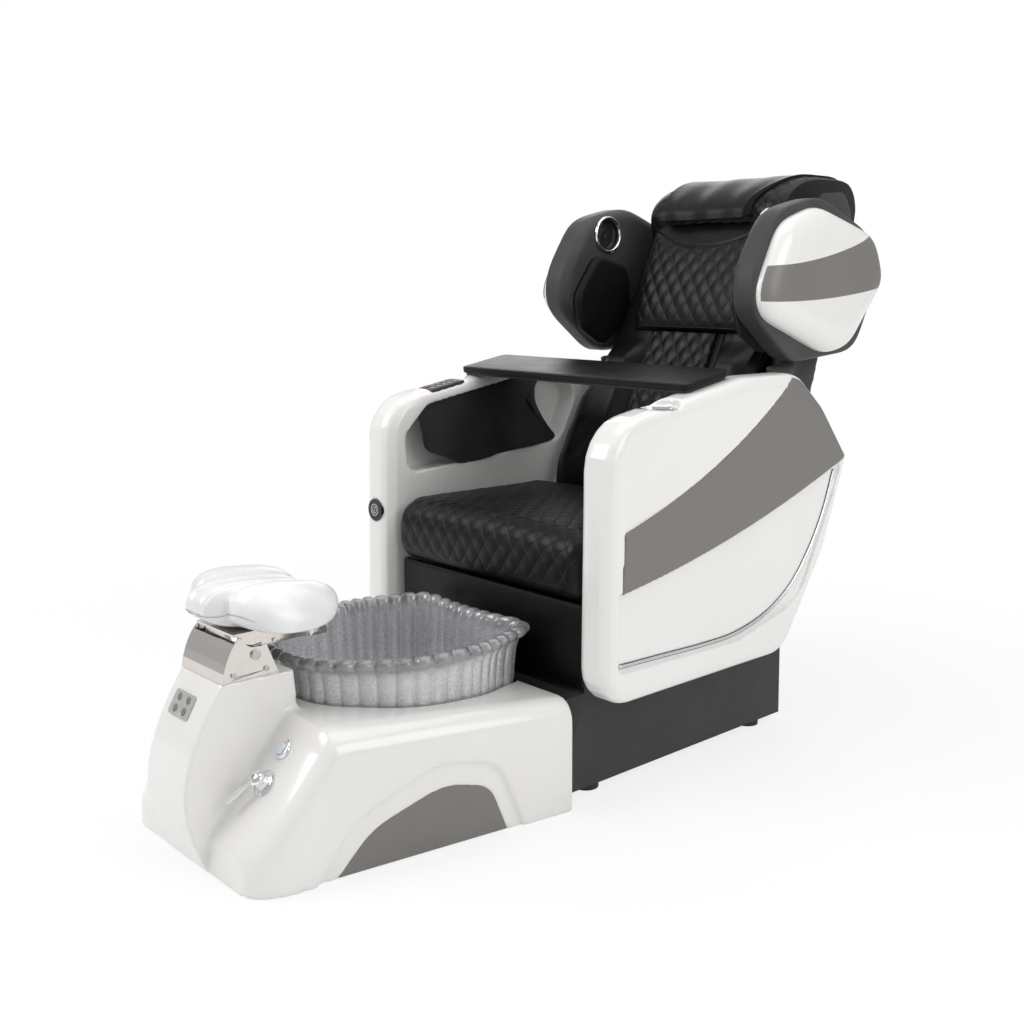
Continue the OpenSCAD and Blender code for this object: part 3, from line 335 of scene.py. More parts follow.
def moulded(name, node, voxel, rounds, shape=None):
    """Soft-edged moulding: the solid is remeshed at an even pitch and relaxed, so every edge and
    inside corner turns over in a small radius, as laid-up resin or stretched leather does."""
    o = remeshed(welded(node, name), voxel, rounds)
    if shape:
        set_points(o, shape(points(o)))
    o.data.shade_smooth()
    return o


def carve(o, *tools):
    """Cuts the tools, given as (points, faces) in metres, out of the object."""
    cutters = [lay("cutter", *t) for t in tools]
    for c in cutters:
        m = o.modifiers.new("cut", "BOOLEAN")
        m.operation, m.solver, m.object = "DIFFERENCE", "EXACT", c
    baked(o)
    for c in cutters:
        bpy.data.objects.remove(c)
    o.data.shade_smooth()
    o.data.set_sharp_from_angle(angle=math.radians(44))
    return o


def prism(P, a, b, axis=2):
    """Prism of the outline P between a and b along an axis, in mm, as (points, faces) in metres."""
    rings = np.stack([np.insert(np.asarray(P, float), axis, h, axis=1) for h in (a, b)])
    return skin(rings * MM)[:2]


def disc(x, y, r, n=72):
    """Circle as an outline of n points."""
    w = turns(n)
    return np.stack((x + r * np.cos(w), y + r * np.sin(w)), -1)


def relaxed(o, mask, rounds):
    """Smooths only the vertices of the mask."""
    g = o.vertex_groups.new(name="soft")
    g.add(np.nonzero(mask)[0].tolist(), 1.0, "REPLACE")
    m = o.modifiers.new("relax", "SMOOTH")
    m.factor, m.iterations, m.vertex_group = 0.5, rounds, "soft"
    baked(o)
    o.vertex_groups.clear()
    return o


def remeshed(o, voxel, rounds):
    """Remeshes at an even pitch in mm and smooths in so many rounds."""
    m = o.modifiers.new("pitch", "REMESH")
    m.mode, m.voxel_size, m.adaptivity = "VOXEL", voxel * MM, 0
    m = o.modifiers.new("relax", "SMOOTH")
    m.factor, m.iterations = 0.5, rounds
    return baked(o)


def points(o):
    """The mesh's points as an array, in metres."""
    co = np.empty(len(o.data.vertices) * 3, np.float32)
    o.data.vertices.foreach_get("co", co)
    return co.reshape(-1, 3).astype(float)


def set_points(o, co):
    """Puts an array of points back into the mesh."""
    o.data.vertices.foreach_set("co", co.astype(np.float32).ravel())
    o.data.update()


def crisp(name, node, bevel=0.6, angle=32):
    """Machined piece: the solid's own faces, with a small rounded edge."""
    o = welded(node, name)
    o.data.shade_smooth()
    o.data.set_sharp_from_angle(angle=math.radians(angle))
    if bevel:
        m = o.modifiers.new("edge", "BEVEL")
        m.width, m.segments, m.limit_method, m.angle_limit = bevel * MM, 2, "ANGLE", math.radians(angle)
        m.harden_normals = True
    return o


# ---------------------------------------------------------------- finishes
class Val:
    """A socket that takes part in sums; each operator adds one Math node."""

    def __init__(self, fin, sock):
        self.fin, self.sock = fin, sock

    def op(self, kind, a, b=0.0):
        """One Math node."""
        return self.fin.node("ShaderNodeMath", {"operation": kind}, {0: a, 1: b})[0]

    def __add__(self, o):
        return self.op("ADD", self, o)

    def __radd__(self, o):
        return self.op("ADD", o, self)

    def __sub__(self, o):
        return self.op("SUBTRACT", self, o)

    def __rsub__(self, o):
        return self.op("SUBTRACT", o, self)

    def __mul__(self, o):
        return self.op("MULTIPLY", self, o)

    def __abs__(self):
        return self.op("ABSOLUTE", self)

    def frac(self):
        """What lies past the whole number."""
        return self.op("FRACT", self)

    def step(self, lo, hi):
        """0 below lo, 1 above hi, smooth between."""
        ramp = {0: self, 1: lo, 2: hi, 3: 0.0, 4: 1.0}
        return self.fin.node("ShaderNodeMapRange", {"interpolation_type": "SMOOTHSTEP"}, ramp)[0]


class Finish:
    """One procedural material, built node by node."""

    def __init__(self, name):
        self.mat = bpy.data.materials.new(name)
        self.mat.use_nodes = True
        self.tree = self.mat.node_tree
        self.tree.nodes.clear()
        self.place = None

    def node(self, kind, settings=None, inputs=None):
        """Adds a node, sets it, links or sets its inputs, and gives its outputs."""
        n = self.tree.nodes.new(kind)
        for k, v in (settings or {}).items():
            setattr(n, k, v)
        for k, v in (inputs or {}).items():
            s = n.inputs[k]
            if isinstance(v, Val):
                self.tree.links.new(v.sock, s)
            elif hasattr(v, "__len__") and s.type == "RGBA" and len(v) == 3:
                s.default_value = (*v, 1)
            else:
                s.default_value = v
        return [Val(self, s) for s in n.outputs]

    def at(self, scale=(1, 1, 1), turn=(0, 0, 0)):
        """Object coordinates, scaled and turned."""
        if self.place is None:
            self.place = self.node("ShaderNodeTexCoord")[3]
        return self.node("ShaderNodeMapping", {}, {0: self.place, 2: turn, 3: scale})[0]

    def noise(self, scale, detail=2.0, rough=0.5, where=None, twist=0.0):
        """Cloudy value, 0 to 1."""
        ins = {"Vector": where or self.at(), "Scale": scale, "Detail": detail, "Roughness": rough}
        return self.node("ShaderNodeTexNoise", {}, {**ins, "Distortion": twist})[0]

    def cells(self, scale, where=None):
        """Distance and random colour of a cell pattern."""
        ins = {"Vector": where or self.at(), "Scale": scale, "Randomness": 1.0}
        return self.node("ShaderNodeTexVoronoi", {"feature": "F1"}, ins)

    def blend(self, f, a, b):
        """Colour a where f is 0, b where it is 1."""
        n = self.node("ShaderNodeMix", {"data_type": "RGBA"}, {})
        mix = n[0].sock.node
        for i, v in ((0, f), (6, a), (7, b)):
            if isinstance(v, Val):
                self.tree.links.new(v.sock, mix.inputs[i])
            else:
                mix.inputs[i].default_value = (*v, 1) if i > 0 else v
        return Val(self, mix.outputs[2])

    def bump(self, height, strength, depth):
        """Normal tilted by a height field."""
        return self.node("ShaderNodeBump", {}, {"Height": height, "Strength": strength, "Distance": depth})[0]

    def surface(self, **sockets):
        """Principled surface; the names are its sockets' with _ for a space."""
        ins = {k.replace("_", " "): v for k, v in sockets.items()}
        return self.node("ShaderNodeBsdfPrincipled", {}, ins)[0]

    def done(self, shader):
        """Ends the material with its shader."""
        self.node("ShaderNodeOutputMaterial", {}, {"Surface": shader})
        return self.mat


def shade(colour, k, add=0.0):
    """The colour times k, plus add, held at 1."""
    return tuple(min(1, c * k + add) for c in colour)


def gelcoat(name, colour, rough=0.16):
    """White gloss gel coat: faint mottling, dust-fine orange peel and slow waves in the gloss."""
    f = Finish(name)
    cloud = f.noise(3.0, 3.0).step(0.3, 0.7)
    tint = f.blend(cloud * 0.6, colour, tuple(c * k for c, k in zip(colour, (0.965, 0.96, 0.945))))
    fine = f.noise(240.0, 2.0)
    slow = f.noise(9.0, 1.0)
    gloss = rough + slow * 0.05 + fine * 0.03
    return f.done(f.surface(Base_Color=tint, Roughness=gloss, Normal=f.bump(fine * 0.25 + slow, 0.05, 0.0015),
                            Coat_Weight=0.35, Coat_Roughness=0.06, IOR=1.5))


def satin(name, colour, rough=0.42):
    """Satin painted plastic: metallic speckle, finely stippled."""
    f = Finish(name)
    speck = f.cells(900.0)[1]
    grey = f.node("ShaderNodeSeparateColor", {}, {0: speck})[0]
    cloud = f.noise(5.0, 3.0)
    tint = f.blend(grey * 0.2 + cloud * 0.6, shade(colour, 0.92), shade(colour, 1.1))
    return f.done(f.surface(Base_Color=tint, Roughness=rough + cloud * 0.08, Metallic=0.15,
                            Normal=f.bump(f.noise(650.0), 0.12, 0.0004)))


def leather(name, colour, rough=0.4, crease=0.5, quilted=False, thread=None, spec=0.2):
    """Synthetic leather: pebbled cells, long soft creases and, where sewn, a sunk line with thread; the sunk
    line is darkened as painted shade in its groove.
    """
    f = Finish(name)
    where = f.at()
    cloud = f.node("ShaderNodeTexNoise", {}, {"Vector": where, "Scale": 60.0})[1]
    warp = f.node("ShaderNodeVectorMath", {"operation": "ADD"}, {0: where, 1: cloud})[0]
    pebble = f.cells(620.0, where)[0]
    vein = f.node("ShaderNodeTexVoronoi", {"feature": "DISTANCE_TO_EDGE"}, {"Vector": warp, "Scale": 34.0})[0]
    vein = vein.step(0.0, 0.06)
    fold = f.noise(11.0, 4.0, 0.55, f.at((1.0, 1.0, 0.35), (0.5, 0.2, 0.3)), 0.8)
    worn = f.noise(6.0, 3.0).step(0.45, 0.75)
    tone = f.blend(worn * 0.7, colour, shade(colour, 1.5, 0.001))
    height = pebble * 0.35 + vein * (0.25 * crease) + fold * (1.6 * crease)
    gloss = rough + pebble * 0.12 - fold * 0.1
    if quilted:
        marks = f.node("ShaderNodeAttribute", {"attribute_name": "stitch"})[1]
        a, b, mask = f.node("ShaderNodeSeparateXYZ", {}, {0: marks})
        da = abs((a + 0.5).frac() - 0.5)
        db = abs((b + 0.5).frac() - 0.5)
        near = da.op("MINIMUM", da, db)
        line = (1 - near.step(0.014, 0.05)) * mask
        dash = da.op("LESS_THAN", da, db)
        along = (b * dash + a * (1 - dash)) * 7.0
        stitch = (1 - near.step(0.01, 0.024)) * mask * abs(along.frac() - 0.5).step(0.08, 0.16)
        pucker = f.noise(75.0, 3.0, 0.6) * (1 - near.step(0.02, 0.22)) * mask
        # painted shade: the sunk sewn line is darkened to 0.4 of the colour, standing in for shade in its
        # groove
        tone = f.blend(line * 0.6, tone, shade(colour, 0.4))
        if thread:
            tone = f.blend(stitch * 0.85, tone, thread)
        height = height + pucker * 1.3 - line * 1.6 + stitch * 0.8
    return f.done(f.surface(Base_Color=tone, Roughness=gloss, Normal=f.bump(height, 0.3, 0.0014),
                            Specular_IOR_Level=spec))


def metal(name, colour, rough, brush=None):
    """Polished or brushed metal: fine drawn lines, fingerprints in the gloss."""
    f = Finish(name)
    smear = f.noise(14.0, 4.0, 0.6).step(0.35, 0.8)
    line = f.noise(1.0, 3.0, 0.6, f.at(brush)) if brush else f.noise(500.0)
    tone = f.blend(smear * 0.5, colour, shade(colour, 0.9))
    gloss = rough + smear * 0.06 + line * (0.1 if brush else 0.02)
    return f.done(f.surface(Base_Color=tone, Metallic=1.0, Roughness=gloss,
                            Normal=f.bump(line, 0.06 if brush else 0.02, 0.0004)))


def plain(name, colour, rough=0.5, grain=420.0, depth=0.15, metallic=0.0, coat=0.0):
    """Moulded plastic, rubber or painted board with a stippled face and slight wear."""
    f = Finish(name)
    n = f.noise(grain, 3.0)
    cloud = f.noise(7.0, 4.0).step(0.3, 0.75)
    tone = f.blend(cloud * 0.6 + n * 0.2, colour, shade(colour, 1.22, 0.003))
    return f.done(f.surface(Base_Color=tone, Roughness=rough + n * 0.12 - cloud * 0.05, Metallic=metallic,
                            Normal=f.bump(n, depth, 0.0006), Coat_Weight=coat))


def knit(name, colour):
    """Fine black knit: two crossed sets of ribs under a soft nap."""
    f = Finish(name)

    def ribs(way, scale, twist):
        """Ribs across the given axis."""
        ins = {"Vector": f.at(), "Scale": scale, "Distortion": twist}
        return f.node("ShaderNodeTexWave", {"bands_direction": way}, ins)[1]

    a, b = ribs("Y", 210.0, 1.2), ribs("Z", 260.0, 0.8)
    nap = f.noise(30.0, 4.0)
    tone = f.blend(nap * 0.8, colour, shade(colour, 1.7, 0.004))
    return f.done(f.surface(Base_Color=tone, Roughness=0.62 + nap * 0.15, Sheen_Weight=0.2,
                            Sheen_Roughness=0.4, Normal=f.bump(a * 0.5 + b * 0.5 + nap, 0.25, 0.0006)))


def resin(name, clear, silver, rim):
    """Cast bowl resin: silver flakes of random tilt sunk in clear gloss, each lighter or darker by that tilt
    as painted glints, a few bluish white as painted sparkle; above the wall the flakes thin out into smoky
    clear resin along the scalloped lip."""
    f = Finish(name)
    z = f.node("ShaderNodeSeparateXYZ", {}, {0: f.at()})[2]
    flake = f.cells(900.0)
    tilt = f.node("ShaderNodeSeparateColor", {}, {0: flake[1]})
    big = f.node("ShaderNodeSeparateColor", {}, {0: f.cells(230.0)[1]})[0]
    # painted glints: each flake is lighter or darker by its random tilt value, standing in for how it catches
    # the light
    flake_glint = tilt[0].step(0.1, 0.95)
    tone = f.blend(flake_glint * 0.7 + big * 0.3, shade(silver, 0.6), silver)
    # painted sparkle: a few flakes turn bluish white
    tone = f.blend(tilt[2].step(0.92, 0.99), tone, (0.75, 0.8, 0.9))
    streak = f.noise(38.0, 2.0, 0.5, f.at((1, 1, 0.05)))
    tone = f.blend(streak.step(0.35, 0.8) * 0.4, tone, shade(silver, 0.62))
    wall = f.surface(Base_Color=tone, Metallic=0.25 + tilt[1] * 0.35, Roughness=0.24 + tilt[2] * 0.2,
                     Normal=f.bump(tilt[0], 0.35, 0.0005), Coat_Weight=0.9, Coat_Roughness=0.04)
    tint = f.blend(f.noise(22.0, 3.0).step(0.3, 0.75), clear, shade(clear, 0.55))
    lip = f.surface(Base_Color=tint, Roughness=0.08 + streak * 0.08, Metallic=0.0, Transmission_Weight=0.55,
                    IOR=1.45, Coat_Weight=0.8, Coat_Roughness=0.04, Normal=f.bump(streak, 0.08, 0.001))
    top = (z + (f.noise(16.0) - 0.5) * 0.012).step(rim - 0.034, rim - 0.012)
    return f.done(f.node("ShaderNodeMixShader", {}, {0: top * 0.85, 1: wall, 2: lip})[0])


FIN = {}


def finishes():
    """All finishes, made once, from the panel's colours."""
    if FIN:
        return FIN
    c = bpy.context.scene.spa_colours
    bowl_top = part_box("bowl")[1].z
    drawn, across, upright = (4.0, 900.0, 900.0), (900.0, 20.0, 900.0), (900.0, 900.0, 30.0)  # brush lines
    # key, kind, material, colour, then what the kind takes after its colour
    for key, kind, name, colour, *look in (
            ("gelcoat", gelcoat, "gelcoat_gloss", c.gelcoat),
            ("stripe", satin, "stripe_satin", c.stripe),
            ("leather", leather, "leather_black", c.leather, 0.33, 0.5),
            ("quilted", leather, "leather_quilted", c.leather, 0.33, 0.2, True, (0.045, 0.03, 0.032)),
            ("side", leather, "leather_grey", c.side_leather, 0.44, 0.4),
            ("tray", leather, "leather_tray", c.leather, 0.34, 0.12),
            ("air", leather, "airbag_cover", (0.006, 0.006, 0.007), 0.5, 0.4),
            ("white_skin", leather, "footrest_skin", (0.76, 0.755, 0.745), 0.16, 0.02, False, None, 0.5),
            ("apron", leather, "apron_cover", (0.0045, 0.0045, 0.005), 0.4, 0.25),
            ("knit", knit, "forearm_knit", (0.006, 0.006, 0.007)),
            ("resin", resin, "bowl_resin", (0.44, 0.45, 0.46), tuple(c.glitter), bowl_top),
            ("chrome", metal, "chrome_mirror", (0.86, 0.86, 0.88), 0.05),
            ("steel", metal, "bracket_steel", (0.72, 0.68, 0.64), 0.1, drawn),
            ("zinc", metal, "zinc_steel", (0.55, 0.55, 0.57), 0.3, across),
            ("brass", metal, "port_brass", (0.62, 0.45, 0.2), 0.24, upright),
            ("board", plain, "base_charcoal", c.charcoal, 0.5, 300.0, 0.12),
            ("black", plain, "trim_black", (0.012, 0.012, 0.013), 0.4),
            ("paint", plain, "frame_black", (0.02, 0.02, 0.021), 0.42, 120.0, 0.1, 0.3),
            ("rubber", plain, "foot_rubber", (0.015, 0.015, 0.015), 0.7, 200.0, 0.3),
            ("silver", plain, "key_silver", (0.42, 0.41, 0.39), 0.34, 700.0, 0.08, 0.25, 0.2),
            ("pearl", plain, "jet_cap", (0.62, 0.66, 0.72), 0.2, 300.0, 0.03, 0.4, 0.6),
            ("grey_key", plain, "remote_key", (0.2, 0.2, 0.21), 0.45),
            ("remote", plain, "remote_body", (0.045, 0.046, 0.05), 0.4),
            ("strip", metal, "strip_silver", (0.78, 0.78, 0.8), 0.24),
            ("dim", plain, "key_dim", (0.2, 0.195, 0.185), 0.4, 700.0, 0.08, 0.25),
            ("red_key", plain, "remote_red", (0.35, 0.03, 0.03), 0.45),
            ("mark", plain, "mark_white", (0.75, 0.75, 0.75), 0.4)):
        FIN[key] = kind(name, tuple(colour), *look)
    return FIN


# ---------------------------------------------------------------- settings
def colour_setting(name, description, value):
    """A colour that the panel shows."""
    return FloatVectorProperty(name=name, description=description, subtype="COLOR", size=3,
                               default=value, min=0, max=1)


def size_setting(name, description, value, low, high):
    """A size in mm that the panel shows."""
    return FloatProperty(name=name, description=description + ", mm", default=value, min=low, max=high)


class SpaColours(PropertyGroup):
    """Colours, as linear values"""
    gelcoat: colour_setting("Gel coat", "Mouldings and shells", (0.83, 0.815, 0.79))
    stripe: colour_setting("Stripe", "Satin inlays", (0.195, 0.184, 0.172))
    leather: colour_setting("Leather", "Seat, back and tray", (0.0045, 0.0045, 0.0055))
    side_leather: colour_setting("Side leather", "Wings and rear shell", (0.055, 0.055, 0.057))
    glitter: colour_setting("Glitter", "Flakes in the bowl", (0.78, 0.78, 0.79))
    charcoal: colour_setting("Base box", "Painted base box", (0.0145, 0.0145, 0.015))


class SpaSizes(PropertyGroup):
    """Sizes of what is sewn, cast and moulded here"""
    pitch: size_setting("Mesh pitch", "Even pitch of the remeshed mouldings", 4.0, 2.5, 10)
    cell_w: size_setting("Diamond width", "Width of a quilted diamond", 43.0, 20, 80)
    cell_l: size_setting("Diamond length", "Length of a quilted diamond", 60.0, 20, 100)
    puff: size_setting("Puff", "Height of a quilted diamond", 5.5, 1, 12)
    flutes: IntProperty(name="Flutes", description="Flutes round the bowl", default=44, min=20, max=80)
    fold: size_setting("Cloth fold", "Depth of the folds in hanging cloth", 7.0, 0, 20)


# ---------------------------------------------------------------- frames of the pieces
def on_back(x, y, z):
    """From the back's own axes (x across, y up the back, z out of its front), in mm, to metres."""
    s, c = math.sin(LEAN), math.cos(LEAN)
    return grid(x, BACK_Y + y * s - z * c, BACK_Z + y * c + z * s) * MM


def arm_top(y):
    """Height of the arms' tops at y."""
    return ARM_Z + (np.asarray(y, float) - ARM_Y) * math.tan(ARM_SLOPE)


def on_arm(x, v, h, mid):
    """From the arm top's own axes about y = mid (v along the slope, h square to it) to mm."""
    s, c = math.sin(ARM_SLOPE), math.cos(ARM_SLOPE)
    return grid(x, mid + v * c - h * s, float(arm_top(mid)) + v * s + h * c)


def bowl_plan(a):
    """Plan of the bowl's rim at angle a: a superellipse whose rear corners flare out."""
    x, y = np.cos(a), np.sin(a)
    q = (np.abs(x) ** 2.5 + np.abs(y) ** 2.5) ** (-1 / 2.5)
    d = np.degrees(a) % 360
    rear = y > 0
    side = np.abs(np.abs(np.where(d > 180, d - 360, d)) - 90)
    flare = 1 + 0.16 * bell(side, 36, 13) - 0.03 * bell(d, 90, 16)
    pinch = 1 - 0.06 * bell(np.abs(d - 270), 45, 18)
    horn = np.where(rear, flare, pinch)
    return np.stack((BOWL_HALF * x * q * horn, np.where(rear, BOWL_REAR, BOWL_FRONT) * y * q * horn), -1)


def fixtures(*rows):
    """Machined pieces, from rows of piece, solid, body, finish, record slot (not used) and edge radius in mm.
    """
    for name, node, body, finish, slot, edge in rows:
        settle(crisp(name, node, edge), body, finishes()[finish], [node])


# ---------------------------------------------------------------- operators
def camera(scene):
    """Camera beyond the chair's front corner, a little above the tray."""
    cam = bpy.data.cameras.new("view")
    cam.lens, cam.sensor_width, cam.shift_y = 43.071, 36.0, -0.1143
    cam.clip_end = 50
    eye = bpy.data.objects.new("view", cam)
    eye.location = (1.98848, -1.66631, 1.05)
    eye.rotation_euler = (math.radians(84.7), 0, math.radians(47.836))
    scene.collection.objects.link(eye)
    scene.camera = eye


def pale_floor():
    """Floor that keeps a little shadow near the chair and melts into the background farther out."""
    corners = np.array([[-9, -9, 0], [9, -9, 0], [9, 9, 0], [-9, 9, 0]], float)
    floor = lay("floor", corners + (0, 0, -0.0005), [(0, 1, 2, 3)])
    f = Finish("floor_pale")
    ray = f.node("ShaderNodeLightPath")
    seen = ray[0] + ray[3] + ray[6]
    far = f.node("ShaderNodeVectorMath", {"operation": "LENGTH"}, {0: f.at()})[1].step(1.0, 2.4)
    tone = f.blend(f.noise(2.0), (0.9, 0.9, 0.9), (0.88, 0.88, 0.88))
    base = f.surface(Base_Color=tone, Roughness=0.9)
    glow = f.node("ShaderNodeEmission", {}, {0: (1, 1, 1), 1: 1.0})[0]
    share = seen.op("MINIMUM", seen, 1.0) * (0.8 + far * 0.2)
    mixed = f.node("ShaderNodeMixShader", {}, {0: share, 1: base, 2: glow})[0]
    floor.data.materials.append(f.done(mixed))


def studio_world(scene):
    """Pale sky for the light, plain white for the eye."""
    world = bpy.data.worlds.new("studio")
    world.use_nodes = True
    t = world.node_tree
    t.nodes.clear()
    path, sky, white, mix, out = (t.nodes.new("ShaderNode" + kind) for kind in (
        "LightPath", "Background", "Background", "MixShader", "OutputWorld"))
    sky.inputs[0].default_value = (0.96, 0.98, 1.0, 1)
    sky.inputs[1].default_value = 0.5
    white.inputs[0].default_value = (1, 1, 1, 1)
    t.links.new(path.outputs["Is Camera Ray"], mix.inputs[0])
    t.links.new(sky.outputs[0], mix.inputs[1])
    t.links.new(white.outputs[0], mix.inputs[2])
    t.links.new(mix.outputs[0], out.inputs[0])
    scene.world = world


def lamps(scene):
    """Four soft boxes, each turned to what it lights."""
    for name, where, aim, size, watt in (("key", (-1.6, -2.6, 3.0), (0, 0.1, 0.6), (2.4, 1.8), 74),
                                         ("fill", (3.4, 0.6, 2.1), (0, 0.3, 0.6), (2.2, 2.2), 44),
                                         ("top", (0.2, 0.6, 3.6), (0, 0.2, 0.5), (3.0, 3.0), 40),
                                         ("rear", (-2.4, 2.8, 2.2), (0, 0.4, 0.7), (2.0, 2.0), 20)):
        lamp = bpy.data.lights.new(name, "AREA")
        lamp.shape, lamp.size, lamp.size_y, lamp.energy = "RECTANGLE", size[0], size[1], watt
        o = bpy.data.objects.new(name, lamp)
        o.location = where
        v = np.array(aim, float) - where
        o.rotation_euler = (math.atan2(math.hypot(v[0], v[1]), -v[2]), 0, math.atan2(v[1], v[0]) - PI / 2)
        scene.collection.objects.link(o)


class SPA_OT_stage(Operator):
    """Camera, soft studio light and pale floor"""
    bl_idname = "spa.stage"
    bl_label = "Stage"

    def execute(self, context):
        scene = context.scene
        camera(scene)
        pale_floor()
        studio_world(scene)
        lamps(scene)
        scene.view_settings.view_transform = "Standard"
        return {"FINISHED"}


def bath_loft():
    """Bath as a closed loft, with its stations y and deck heights. The wall is upright to a soft
    crease, then one broad curve to the deck; the nose is a quarter ellipse in plan. A cove follows
    the arch: a short step inwards, then a slope back out to the inlay."""
    nose, nose_long = 530, 130
    rear_w, nose_w = 327, 249
    turn = np.linspace(0, PI / 2, 64)[1:]
    y = np.r_[3, 1, np.linspace(-4, -nose, 132), -nose - nose_long * np.sin(turn) ** (1 / 1.2)]
    # half width: straight taper, then the nose's quarter ellipse
    round_in = 64 * (1 - np.sqrt(np.clip(1 - (np.clip(-nose - y, 0, None) / nose_long) ** 2.4, 0, 1)))
    hw = np.where(y > -nose, rear_w + (nose_w - rear_w) * -y / nose, nose_w - round_in)
    # height: nearly level deck, eased into the nose's slope, and a rounded tip
    blend, rear_z, rise_long = 26, 228, 480
    line = TOE_Z + (y - TOE_Y) * NOSE_SLOPE
    s = ease(NOSE_TOP + blend, NOSE_TOP - blend, y)
    level = rear_z + (DECK_Z - rear_z) * np.clip(-y / rise_long, 0, 1)
    d = np.where(y > NOSE_TOP + blend, level, np.minimum(DECK_Z, line * s + DECK_Z * (1 - s)))
    tip = TOE_Z + 34 * np.sqrt(np.clip((y + 660) / 28, 0.04, None)) - 12
    d = np.where(y < -632, np.minimum(d, tip), d)
    q = np.linspace(0, 1, 44)[None]
    t = np.clip(-y / rise_long, 0, 1)[:, None]
    W, D = hw[:, None], d[:, None]
    crease = np.maximum(D * 0.45, D - 66)
    wall = grid(W, crease * q)
    # shoulder: from the crease to the deck, a rounded quarter that leans in
    a = np.linspace(0, PI / 2, 26)[None, 1:]
    reach = 40 + 22 * t
    over = np.stack((W - reach * (1 - np.cos(a)) ** 1.15, crease + (D - crease) * np.sin(a) ** 0.82), -1)
    deck = grid((W - reach) * (1 - np.linspace(0.04, 1, 22)[None]), D)
    half = np.concatenate((wall, over, deck), 1)
    Y = np.broadcast_to(y[:, None], half.shape[:2])
    outer = fillets([(-566, -20, 4), (-480, 100, 150), (-300, 172, 170), (-170, 138, 70), (-104, -20, 4)], 12)
    inner = fillets([(-528, -20, 4), (-440, 74, 150), (-290, 122, 150), (-190, 96, 60), (-142, -20, 4)], 12)
    in_outer, in_inner = (inside_by(arch, Y * 1.011, half[..., 1]) for arch in (outer, inner))
    cove = ease(0, 5, in_outer) * (7.5 - 2.6 * ease(5, 34, in_outer))
    half[..., 0] -= cove + (9.2 - cove) * ease(-1, 1, in_inner)
    ring = out_and_back(half, half * (-1, 1))
    bath = np.insert(ring, 1, y[:, None] + 0 * ring[..., 0], axis=2)
    return skin(bath * MM)[:2], y, d


def prow_loft():
    """Prow as a closed loft: a bowed front between flaring sides, with its rear inside the bath."""
    tall, knee = 336.5, 0.43
    z = np.linspace(0, tall, 100)[:, None]
    u = z / tall
    above = 1 - 1.82 * (np.clip(u - knee, 0, None) / 0.57) ** 1.75
    front = -662 - 42 * np.where(u < knee, np.sin(PI / 2 * u / knee), above)
    rear, w = NOSE_TOP + 18 + np.interp(z, [200, 250, tall], [10, 10, 0]), 73 + 3 * u
    across, along = np.linspace(-1, 1, 24)[None], np.linspace(0.01, 0.97, 40)[None]
    side_x, side_y = w + (88 - w) * along, front + (rear - front) * along
    X = np.concatenate((across * (w - 2.5), side_x, -across * 80 + 0 * w, -side_x[:, ::-1]), 1)
    V = np.concatenate((front + 0 * across, side_y, rear + 0 * across, side_y[:, ::-1]), 1)
    return skin(grid(X, V, z) * MM)[:2]


class SPA_OT_bath(Operator):
    """Foot bath moulding and its arched side panels"""
    bl_idname = "spa.bath"
    bl_label = "Foot bath"

    def execute(self, context):
        F, s = finishes(), context.scene.spa_sizes
        bath, ys, ds = bath_loft()
        o = remeshed(lay("bath_moulding", *faced_out(bath, prow_loft())), s.pitch, 3)
        co = points(o) / MM
        near = np.abs(co[:, 2] - np.interp(-co[:, 1], -ys, ds))
        fold = (np.abs(np.abs(co[:, 0]) - 84) < 22) & (co[:, 1] < -470) & (near < 24)
        relaxed(o, fold, 24)
        plan = bowl_plan(turns(176))
        well = plan + unit(plan) * -18.0 + (0, BOWL_Y)
        under = [(-293, -14), (293, -14), (209, -520), (160, -626), (-160, -626), (-209, -520)]
        carve(o, prism(well, 154.7, 500), prism(under, -5, 105), prism(disc(0, BOWL_Y, 26), -5, 156))
        settle(o, "base", F["gelcoat"], ["tub_body"])
        fixtures(("arch_inlay", "arch_panels", "base", "stripe", "satin_grey", 0.8))
        return {"FINISHED"}


